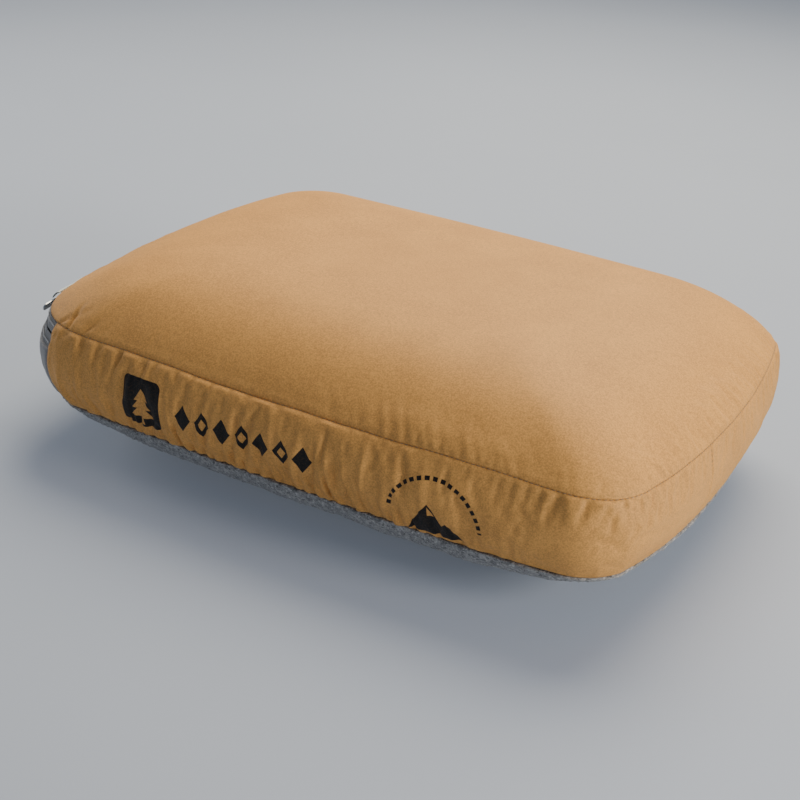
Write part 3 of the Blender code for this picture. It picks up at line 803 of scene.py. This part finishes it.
def seam_ridge(distance):
    """Rise of the cloth over its seam allowance, and the roll of its edge, by distance in."""
    ridge = 0.00030 * np.exp(-((distance - 0.0024) / 0.0014)**2)
    return ridge - 0.00025 * np.exp(-(distance / 0.0006)**2)


def make_top_panel(moved, material):
    across, deep = patch_lines(FINE)
    u, v = np.meshgrid(across, deep)
    ring, position = square_to_seam(u, v)
    shift_u = read_weights((across + 1) / 2 * SIM_ACROSS, SIM_ACROSS + 1)
    shift_v = read_weights((deep + 1) / 2 * SIM_DEEP, SIM_DEEP + 1)
    points = crown_points(u, v) + read_grid(shift_v, moved, shift_u)
    normal = grid_normals(points)
    distance = (1 - ring) * SEAM_INWARD
    folds = pick_folds(CROWN_GATHERS, *CROWN_ROW) + CORNER_CREASES
    relief = fold_relief(folds, position, distance, CROWN_FOLD)
    points += normal * (seam_ridge(distance) + relief)[..., None]
    piece = sewn_patch("crown_panel", points, position, 1, material)
    stand_for("top_panel")


def sim_column(position):
    """Length along the seam as a column of the settled band."""
    counts = np.array((0, SIM_ACROSS, SIM_ACROSS + SIM_DEEP, 2 * SIM_ACROSS + SIM_DEEP,
                       2 * (SIM_ACROSS + SIM_DEEP)))
    return np.interp(np.mod(position, PERIMETER), CORNERS, counts)


def make_band(name, start, stop, top_share, moved, material):
    """A length of the side band with all four edges turned in, and its print coordinates."""
    length = (stop - start) % PERIMETER
    position = start + even_lines(length, FINE * 0.7) * length
    share = even_lines(BAND_HEIGHT * top_share, FINE * 1.2) * top_share
    place, level = np.meshgrid(position, share)
    along = read_weights(sim_column(position), 2 * (SIM_ACROSS + SIM_DEEP), wrap=True)
    up = read_weights((1 - share) * SIM_ROWS, SIM_ROWS + 1)
    points = band_points(place, level) + read_grid(up, moved, along)
    normal = grid_normals(points)
    distance = np.minimum(np.minimum(level, top_share - level) * BAND_HEIGHT,
                          np.minimum(place - start, start + length - place))
    lower = pick_folds(LOWER_GATHERS, *LOWER_ROW)
    upper = pick_folds(UPPER_GATHERS, *UPPER_ROW) + BAND_CREASES
    relief = fold_relief(lower, place, level * BAND_HEIGHT, LOWER_FOLD)
    relief += fold_relief(upper, place, (1 - level) * BAND_HEIGHT, UPPER_FOLD)
    relief *= np.clip(distance / SEAM_FLAT, 0, 1)
    points += normal * (seam_ridge(distance) + relief)[..., None]
    _, out = outline(position)
    bottom_z, top_z = seam_height(position, 0), seam_height(position, top_share)
    points[0, :, 2] = bottom_z + SEAM_MOUTH
    points[-1, :, 2] = top_z - SEAM_MOUTH
    under = tucked_edge(points[0], out, bottom_z + SEAM_MOUTH / 2)
    over = tucked_edge(points[-1], out, top_z - SEAM_MOUTH / 2)
    whole = np.concatenate((under[::-1], points, over))
    ends = whole[:, (0, -1)]
    ends[..., :2] -= out[[0, -1]] * END_TUCK
    whole = np.concatenate((ends[:, :1], whole, ends[:, 1:]), 1)
    faces = grid_faces(*whole.shape[:2])
    piece = make_piece(name, whole.reshape(-1, 3), faces, material)
    ahead = apart(position, FRONT_MIDDLE)
    ahead = np.concatenate((ahead[:1], ahead, ahead[-1:]))
    levels = np.concatenate(([0, 0], share, [top_share, top_share])) * BAND_HEIGHT
    coordinates = np.stack(np.meshgrid(ahead, levels), -1).reshape(-1, 2)
    layer = piece.data.uv_layers.new(name="band")
    layer.data.foreach_set("uv", coordinates[faces.reshape(-1)].astype(np.float32).reshape(-1))
    return piece


def make_bottom_panel(material):
    u, v = np.meshgrid(*patch_lines(FINE * 1.3))
    ring, position = square_to_seam(u, v)
    points = belly_points(u, v)
    push = -grid_normals(points).reshape(-1, 3)
    distance = (1 - ring).reshape(-1) * SEAM_INWARD
    flat = points.reshape(-1, 3)
    tuft = np.random.default_rng(7).normal(0, 0.00022, len(flat)) + 0.0009
    tuft += 0.0006 * smooth_noise(flat, 0.006, 1) + 0.0012 * smooth_noise(flat, 0.035, 2)
    lifted = np.clip(flat[:, 2] / 0.004, 0, 1) * np.clip(distance / 0.0008, 0, 1)
    flat += push * (tuft * lifted)[:, None]
    flat[:, 2] = np.maximum(flat[:, 2], BELLY_LOW.z)
    piece = sewn_patch("fleece_underside", points, position, 0, material)
    stand_for("bottom_panel")


def stitches(name, centres, along, out, material):
    """A row of short rounded stitches, each laid along the seam."""
    sides, vertices, faces = 6, [], []
    profile = ((-0.5, 0.35), (-0.3, 1.0), (0.3, 1.0), (0.5, 0.35))
    turns = [2 * math.pi * k / sides for k in range(sides)]
    last = (len(profile) - 1) * sides
    for centre, ahead, outward in zip(centres, along, out):
        up = np.cross(outward, ahead)
        first = len(vertices)
        for shift, width in profile:
            for turn in turns:
                ring = (outward * math.cos(turn) + up * math.sin(turn)) * STITCH_RADIUS * width
                vertices.append(centre + ahead * shift * STITCH_LENGTH + ring)
        for k in range(last):
            a = first + k
            b = a + 1 if (k + 1) % sides else a + 1 - sides
            faces.append((a, a + sides, b + sides, b))
        faces.append(tuple(first + k for k in range(sides)))
        faces.append(tuple(first + last + k for k in reversed(range(sides))))
    return make_piece(name, vertices, faces, material)


def outward_of(out):
    """Flat outward directions as directions in space."""
    return np.concatenate((out, np.zeros((len(out), 1))), 1)


def make_seam_stitches(materials):
    count = round(PERIMETER / STITCH_PITCH)
    position = np.arange(count) * PERIMETER / count
    seam, out = outline(position)
    ahead = outward_of(np.stack((-out[:, 1], out[:, 0]), 1))
    for edge, slot, share, sunk in (("top", "tan_thread", 1, 0.0002), ("bottom", "grey_thread", 0, 0.0012)):
        inset = (1 - share) * bottom_inset(position) + sunk
        z = seam_height(position, share)
        centres = np.concatenate((seam - out * inset[:, None], z[:, None]), 1)
        piece = stitches(f"{edge}_seam_stitches", centres, ahead, outward_of(out), materials[slot])
        stand_for(f"{edge}_seam_thread")


def make_upright_stitches(seam, place, slot, materials):
    shares = np.arange(0.06, 0.95, STITCH_PITCH / BAND_HEIGHT)
    places = np.full(len(shares), place)
    centres = band_points(places, shares)
    outward = outward_of(outline(places)[1])
    ahead = np.gradient(centres, axis=0)
    ahead /= np.linalg.norm(ahead, axis=1, keepdims=True)
    piece = stitches(f"{seam}_stitches", centres - outward * 0.0003, ahead, outward, materials[slot])
    stand_for(f"{seam}_thread")


# The zip lies on a straight slope from the top seam down into the band

TAPE_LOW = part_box("zip_tape_lower")[0].z
ZIP_STRIP = 0.0176
TAPE_SHOW = 0.0060
COIL_WIDTH, COIL_HEIGHT = 0.0020, 0.0013
GAP = 0.0003
SLIDER_LENGTH = 0.0072
PLATE = 0.0008
BAIL_OPENING, BAIL_REACH, BAIL_WALL, BAIL_WIDTH = 0.0020, 0.0016, 0.0008, 0.0016
PULL_WIDTH, PULL_LENGTH, PULL_ARM = 0.0052, 0.024, 0.0012
BAR = 0.0010
WEB = 0.00018
LABEL_REACH = 0.0060

PULL_PIVOT = Vector(JOINTS["pull_flip"]["pos_m"])
UP_STRIP = -Vector(JOINTS["pull_flip"]["axis"]).normalized()
SLOPE = math.acos(UP_STRIP.z)
REST_ANGLE = math.atan2(-PULL_PIVOT.y, ZIP_AXIS_X - PULL_PIVOT.x)
ALONG_STRIP = Vector((math.sin(REST_ANGLE), -math.cos(REST_ANGLE), 0))
COIL_FRONT = REST_ANGLE * END_RADIUS + SLIDER_LENGTH / 2
COIL_BACK = math.radians(JOINTS["zip_travel"]["range_deg"][1]) * END_RADIUS - COIL_FRONT + SLIDER_LENGTH
CHAIN_DOWN = ZIP_STRIP / 2
PLATE_LOW = COIL_HEIGHT + 2 * GAP
PLATE_TOP = PLATE_LOW + PLATE


def strip_point(ahead, down, height):
    """A point of the zipped strip: along the end's middle line, down from the seam, off its face."""
    angle = math.pi + ahead / END_RADIUS
    reach = END_RADIUS + down * math.sin(SLOPE) + height * math.cos(SLOPE)
    z = TOP_SEAM_Z - down * math.cos(SLOPE) + height * math.sin(SLOPE)
    return (ZIP_AXIS_X + reach * math.cos(angle), reach * math.sin(angle), z)


def slider_frame():
    """The slider's own axes at rest: along the zip, up the strip and out of its face."""
    out = ALONG_STRIP.cross(UP_STRIP)
    origin = PULL_PIVOT - out * (PLATE_TOP + BAIL_OPENING / 2)
    return Matrix.Translation(origin) @ Matrix((ALONG_STRIP, UP_STRIP, out)).transposed().to_4x4()


def tube(path, radius, sides=6):
    """Vertices and faces of a round tube along a path of points."""
    path = np.asarray(path)
    ahead = np.gradient(path, axis=0)
    ahead /= np.linalg.norm(ahead, axis=1, keepdims=True)
    side = np.cross(ahead, UP_STRIP)
    side /= np.linalg.norm(side, axis=1, keepdims=True)
    up = np.cross(ahead, side)
    turn = 2 * math.pi * np.arange(sides)[:, None] / sides
    rings = path[:, None] + radius * (side[:, None] * np.cos(turn) + up[:, None] * np.sin(turn))
    faces = grid_faces(len(path), sides, wrap=True).tolist()
    faces += [list(range(sides))[::-1], [(len(path) - 1) * sides + k for k in range(sides)]]
    return rings.reshape(-1, 3), faces


def make_coils(materials):
    """Each coil is one nylon thread wound along the edge of its tape."""
    pitch, steps, radius = 0.0013, 12, 0.00022
    turns = int((COIL_FRONT + COIL_BACK) / pitch)
    centre_height = GAP + COIL_HEIGHT / 2
    half_across, half_high = COIL_WIDTH / 2 - radius - 0.00010, COIL_HEIGHT / 2 - radius
    for side, sign, phase in (("upper", -1, 0.0), ("lower", 1, math.pi)):
        middle = CHAIN_DOWN + sign * (COIL_WIDTH / 2 + 0.00006)
        path = []
        for i in range(turns * steps + 1):
            turn = 2 * math.pi * i / steps + phase
            path.append(strip_point(-COIL_BACK + (i / steps) * pitch, middle + half_across * math.cos(turn),
                                    centre_height + half_high * math.sin(turn)))
        piece = make_piece(f"wound_coil_{side}", *tube(path, radius), materials["zip_coil"])
        stand_for(f"zip_coil_{side}")


def soft_box(bm, low, high):
    """Adds a box to a mesh under construction."""
    made = bmesh.ops.create_cube(bm, size=1)["verts"]
    bmesh.ops.scale(bm, vec=[b - a for a, b in zip(low, high)], verts=made)
    bmesh.ops.translate(bm, vec=[(a + b) / 2 for a, b in zip(low, high)], verts=made)


def metal_piece(name, node, bm, matrix, materials, body, bevel):
    """A cast or stamped piece with softened edges."""
    mesh = bpy.data.meshes.new(name)
    bm.transform(matrix)
    bmesh.ops.recalc_face_normals(bm, faces=bm.faces)
    bm.to_mesh(mesh)
    bm.free()
    piece = finish_piece(name, mesh, materials["zip_metal"], body)
    edge = piece.modifiers.new("edges", "BEVEL")
    edge.width, edge.segments, edge.limit_method, edge.angle_limit = bevel, 3, "ANGLE", math.radians(35)
    piece.modifiers.new("shading", "WEIGHTED_NORMAL")
    stand_for(node)


def plate_outline(half_length, half_width, waist):
    """The slider's plan: wide shoulders in front, a waist, and a narrower heel."""
    points = []
    for i in range(33):
        x = half_length * math.cos(math.pi * i / 32)
        ends = (1 - abs(x / half_length)**6)**0.5
        taper = 1 - waist * (0.5 - 0.5 * x / half_length)
        points.append((x, half_width * ends * taper))
    return points + [(x, -y) for x, y in reversed(points[1:-1])]


def add_plate(bm, outline_points, low, high):
    rings = [[bm.verts.new((x, y, z)) for x, y in outline_points] for z in (low, high)]
    count = len(outline_points)
    for i in range(count):
        j = (i + 1) % count
        bm.faces.new((rings[0][i], rings[0][j], rings[1][j], rings[1][i]))
    bm.faces.new(rings[1])
    bm.faces.new(rings[0][::-1])


def make_slider(materials):
    """Two plates on a thin web, side flanges, and a bail bent over the pull's bar."""
    bm = bmesh.new()
    half, half_width = SLIDER_LENGTH / 2, 0.0039
    add_plate(bm, plate_outline(half, half_width, 0.22), PLATE_LOW, PLATE_TOP)
    under = -0.0006 - GAP
    soft_box(bm, (-half, -0.0026, under - 0.0006), (half, 0.0026, under))
    soft_box(bm, (-half * 0.4, -WEB / 2, under - 0.0002), (half * 0.8, WEB / 2, PLATE_LOW + 0.0002))
    for side in (-1, 1):
        low, high = sorted((side * half_width * 0.98, side * (half_width - 0.0008)))
        soft_box(bm, (-half * 0.35, low, GAP), (half * 0.75, high, PLATE_LOW + 0.0003))
    middle, reach = BAIL_OPENING / 2, BAIL_REACH + BAIL_WALL / 2
    rise = middle * 1.1 + BAIL_WALL / 2
    turns = [math.pi * i / 16 for i in range(17)]
    arch = [(-reach * math.cos(turn), middle * 0.9 + rise * math.sin(turn)) for turn in turns]
    path = [(-reach, -0.0004)] + arch + [(reach, -0.0004)]
    rows = []
    for i, (x, z) in enumerate(path):
        before, after = path[max(i - 1, 0)], path[min(i + 1, len(path) - 1)]
        ahead = Vector((after[0] - before[0], after[1] - before[1])).normalized()
        out = Vector((-ahead.y, ahead.x)) * BAIL_WALL / 2
        section = [(out, -1), (out, 1), (-out, 1), (-out, -1)]
        rows.append([bm.verts.new((x + shift.x, side * BAIL_WIDTH / 2, PLATE_TOP + z + shift.y))
                     for shift, side in section])
    for a, b in zip(rows, rows[1:]):
        for k in range(4):
            bm.faces.new((a[k], a[(k + 1) % 4], b[(k + 1) % 4], b[k]))
    bm.faces.new(rows[0])
    bm.faces.new(rows[-1][::-1])
    metal_piece("cast_slider", "zip_slider", bm, slider_frame(), materials, "slider", 0.00016)


def make_pull(materials):
    """A stamped tab with a window for the bail and a raised grip near its tip."""
    bm = bmesh.new()
    half, bar = PULL_WIDTH / 2, BAR / 2
    window_end = BAIL_REACH + BAIL_WALL + BAR + 2 * GAP
    inner = half - PULL_ARM
    soft_box(bm, (-bar, -half, -bar), (bar, half, bar))
    for side in (-1, 1):
        low, high = sorted((side * half, side * inner))
        soft_box(bm, (bar * 0.9, low, -bar), (window_end + 0.0001, high, bar))
    outline_points = [(window_end, -half)]
    outline_points += [(PULL_LENGTH - half + half * math.cos(t), half * math.sin(t))
                       for t in np.linspace(-math.pi / 2, math.pi / 2, 17)]
    add_plate(bm, outline_points + [(window_end, half)], -bar, bar)
    for i in range(4):
        start = window_end + 0.0060 + i * 0.0022
        soft_box(bm, (start, -half * 0.62, -bar - 0.00018), (start + 0.0010, half * 0.62, bar + 0.00018))
    matrix = slider_frame() @ Matrix.Translation((0, 0, PLATE_TOP + BAIL_OPENING / 2))
    metal_piece("stamped_pull", "zip_pull", bm, matrix, materials, "pull", 0.00014)


def make_stops(materials):
    """Rounded clamps over the ends of the coils."""
    length, height = 0.0025, 0.0021
    top, bottom = TAPE_SHOW, ZIP_STRIP - TAPE_SHOW
    front, back = COIL_FRONT + GAP, -COIL_BACK - GAP - length
    for name, start, down, low in (("top_stop_upper", front, top, TAPE_SHOW + COIL_WIDTH),
                                   ("top_stop_lower", front, CHAIN_DOWN + 0.0008, bottom),
                                   ("bottom_stop", back, top, bottom)):
        bm = bmesh.new()
        soft_box(bm, (0, 0, 0), (1, 1, 1))
        for vertex in bm.verts:
            x, y, z = vertex.co
            vertex.co = strip_point(start + x * length, down + y * (low - down), GAP + z * (height - GAP))
        metal_piece("clamp_" + name, "zip_" + name, bm, Matrix(), materials, "pillow", 0.0004)


def make_label(materials):
    """A satin strip folded in half, whose ends are caught in the top seam."""
    inner, plies = 0.0014, 0.00055
    low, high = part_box("care_label")
    front, back = (END_RADIUS * math.asin(-y / END_RADIUS) for y in (low.y, high.y))
    rows, columns = 15, 41
    profile = [(inner + (LABEL_REACH - inner) * i / rows, 1) for i in range(rows)]
    profile += [(LABEL_REACH + plies * math.sin(t), math.cos(t)) for t in np.linspace(0, math.pi, 9)]
    profile += [(inner + (LABEL_REACH - inner) * i / rows, -1) for i in reversed(range(rows))]
    vertices = []
    for reach, side in profile:
        share = (reach - inner) / (LABEL_REACH - inner)
        for ahead in np.linspace(back, front, columns):
            angle = math.pi + ahead / END_RADIUS
            curl = 0.0005 * share * math.sin(ahead * 260) + 0.0002 * share**2 * math.sin(ahead * 610 + 1)
            z = TOP_SEAM_Z + 0.0011 + side * plies * (0.45 + 0.55 * share) + curl - 0.0034 * share**2
            distance = END_RADIUS + reach
            vertices.append((ZIP_AXIS_X + distance * math.cos(angle), distance * math.sin(angle), z))
    piece = make_piece("folded_label", vertices, grid_faces(len(profile), columns), materials["label_satin"])
    thicken(piece, 0.00022)
    stand_for("care_label")


# Core

CORE_DEPTH, LINER_DEPTH = 0.0062, 0.0050
CORE_ACROSS, CORE_DEEP, CORE_ROWS = 110, 78, 16
CORE_EDGE = (0.175, 0.175, 0.5)     # how far the foam's edge rows stay from the band's, in x, y and z


def core_surface(depth):
    """Rows of a closed form that lies a set depth inside the smooth cover."""
    u, v = square_lines(CORE_ACROSS, CORE_DEEP)
    rim = rim_indices(CORE_ACROSS, CORE_DEEP)
    _, place = square_to_seam(u, v)
    at, share = np.meshgrid(place.reshape(-1)[rim], np.linspace(0.08, 0.92, CORE_ROWS))
    crown, belly = crown_points(u, v), belly_points(u, v)
    crown -= grid_normals(crown) * depth
    belly += grid_normals(belly) * depth
    band = band_points(at, share)
    band[..., :2] -= outline(at)[1] * depth
    return crown, belly, band, rim


def make_core(materials):
    """The foam block, and the two halves of its knitted liner."""
    crown, belly, band, rim = core_surface(CORE_DEPTH)
    flat = grid_faces(*crown.shape[:2])
    sheets = [sheet.reshape(-1, 3) for sheet in (belly, crown)]
    for points, row in zip(sheets, (band[0], band[-1])):
        points[rim] = row + (points[rim] - row) * CORE_EDGE
    count, columns = len(sheets[0]), len(rim)
    upper = count + len(band) * columns
    lookup = np.concatenate((rim, np.arange(count, upper), upper + rim))
    sides = lookup[grid_faces(len(band) + 2, columns, wrap=True)]
    vertices = np.concatenate((sheets[0], band.reshape(-1, 3), sheets[1]))
    faces = np.concatenate((flat[:, ::-1], sides, flat + upper))
    foam = make_piece("foam_block", vertices, faces, materials["foam"])
    stand_for("foam_core")
    crown, belly, band, rim = core_surface(LINER_DEPTH)
    half = len(band) // 2
    for side, sheet, rows, turn in (("upper", crown, band[half:][::-1], 1),
                                    ("lower", belly, band[:half], -1)):
        lookup = np.concatenate((rim, count + np.arange(len(rows) * columns)))
        sides = lookup[grid_faces(len(rows) + 1, columns, wrap=True)][:, ::-1]
        vertices = np.concatenate((sheet.reshape(-1, 3), rows.reshape(-1, 3)))
        faces = np.concatenate((flat, sides))[:, ::turn]
        liner = make_piece(f"knit_liner_{side}", vertices, faces, materials["liner_knit"])
        thicken(liner, 0.0006)
        stand_for(f"core_liner_{side}")


def finish_frame_nodes(materials):
    """Gives the kept zip and core nodes their finishes."""
    slots = {part["node"]: part["material_slot"] for part in frame["record"]["subparts"]}
    for node, piece in frame["nodes"].items():
        piece.data.materials.clear()
        piece.data.materials.append(materials[slots[node]])


# Stage

def make_floor():
    """A pale floor, whose faint glow keeps its shadows soft."""
    finish = Finish("pale_floor")
    colour = finish.mix(finish.noise(0.4, 2.0), (0.34, 0.385, 0.46), (0.38, 0.425, 0.505))
    material = finish.surface(colour, 0.7, Emission_Color=(0.86, 0.95, 1.10, 1), Emission_Strength=0.085)
    mesh = bpy.data.meshes.new("floor")
    size = 6.0
    corners = [(-size, -size, 0), (size, -size, 0), (size, size, 0), (-size, size, 0)]
    mesh.from_pydata(corners, [], [(0, 1, 2, 3)])
    mesh.materials.append(material)
    add_object("floor", mesh)


def soft_light(name, place, size, power, colour):
    """A round soft light that points at the middle of the pillow."""
    data = bpy.data.lights.new(name, "AREA")
    data.shape, data.size, data.energy, data.color = "DISK", size, power, colour
    light = add_object(name, data)
    light.location = place
    light.rotation_euler = (Vector((0.0, 0.0, 0.08)) - Vector(place)).to_track_quat("-Z", "Y").to_euler()


def make_lights():
    for light in (("overhead", (-0.14, 0.98, 1.42), 1.6, 45, (1.0, 0.89, 0.71)),
                  ("right", (1.10, -0.16, 0.46), 0.35, 8.5, (1.0, 0.94, 0.86)),
                  ("low_right", (0.95, -0.55, 0.17), 0.30, 0.8, (1.0, 0.95, 0.90)),
                  ("left", (-1.40, 0.05, 0.55), 0.6, 5.0, (1.0, 0.95, 0.88))):
        soft_light(*light)
    world = bpy.data.worlds.new("studio")
    world.use_nodes = True
    background = world.node_tree.nodes["Background"]
    background.inputs["Color"].default_value = (0.56, 0.66, 0.86, 1)
    background.inputs["Strength"].default_value = 0.26
    bpy.context.scene.world = world


def make_camera():
    azimuth, elevation, roll = (math.radians(angle) for angle in (27.55, 26.2, 4.5))
    distance, target = 0.998, Vector((-0.0084, 0.0005, 0.0323))
    level_reach = math.cos(elevation)
    back = Vector((math.sin(azimuth) * level_reach, -math.cos(azimuth) * level_reach, math.sin(elevation)))
    level = (-back).cross(Vector((0, 0, 1))).normalized()
    upright = level.cross(-back)
    right = level * math.cos(roll) + upright * math.sin(roll)
    up = upright * math.cos(roll) - level * math.sin(roll)
    data = bpy.data.cameras.new("camera")
    data.lens, data.sensor_width = 64.92, 36
    camera = add_object("camera", data)
    turn = Matrix((right, up, back)).transposed().to_4x4()
    camera.matrix_world = Matrix.Translation(target + back * distance) @ turn
    bpy.context.scene.camera = camera


def make_materials():
    return {"tan_cloth": brushed_tan("brushed_tan"), "grey_cloth": grey_cloth("grey_cloth"),
            "grey_fleece": grey_fleece("grey_fleece"), "liner_knit": liner_knit("liner_knit"),
            "foam": pillow_foam("pillow_foam"), "zip_tape": zip_tape("zip_tape"),
            "zip_coil": coil_nylon("coil_nylon"), "zip_metal": plated_metal("plated_metal"),
            "tan_thread": thread("tan_thread", (0.20, 0.115, 0.05), (0.40, 0.24, 0.11)),
            "grey_thread": thread("grey_thread", (0.22, 0.225, 0.23), (0.40, 0.41, 0.42)),
            "label_satin": label_satin("label_satin")}


def make_bands(moved, materials):
    """Two lengths of tan band, the front one printed, and the grey end below the zip."""
    tan, grey = materials["tan_cloth"], materials["grey_cloth"]
    printed = brushed_tan("printed_tan", prints)
    strip_share = (TAPE_LOW - BOTTOM_SEAM_Z) / BAND_HEIGHT
    after_end = FRONT_PANEL_SEAM + PERIMETER
    front = make_band("front_band", FRONT_PANEL_SEAM, BAND_JOIN, 1.0, moved, printed)
    back = make_band("back_band", BAND_JOIN, BACK_PANEL_SEAM, 1.0, moved, tan)
    end = make_band("grey_end", BACK_PANEL_SEAM, after_end, strip_share, moved, grey)
    stand_for("side_band_front")
    stand_for("side_band_back")
    stand_for("end_panel")


def main():
    materials = make_materials()
    make_camera()
    make_floor()
    make_lights()
    finish_frame_nodes(materials)
    crown_moved, band_moved = settled_cover()
    make_top_panel(crown_moved, materials["tan_cloth"])
    make_bands(band_moved, materials)
    make_bottom_panel(materials["grey_fleece"])
    for make in (make_core, make_coils, make_stops, make_slider, make_pull, make_label, make_seam_stitches):
        make(materials)
    for seam, place, slot in (("front_corner", FRONT_PANEL_SEAM, "grey_thread"),
                              ("back_corner", BACK_PANEL_SEAM, "grey_thread"),
                              ("band_join", BAND_JOIN, "tan_thread")):
        make_upright_stitches(seam, place, slot, materials)


main()
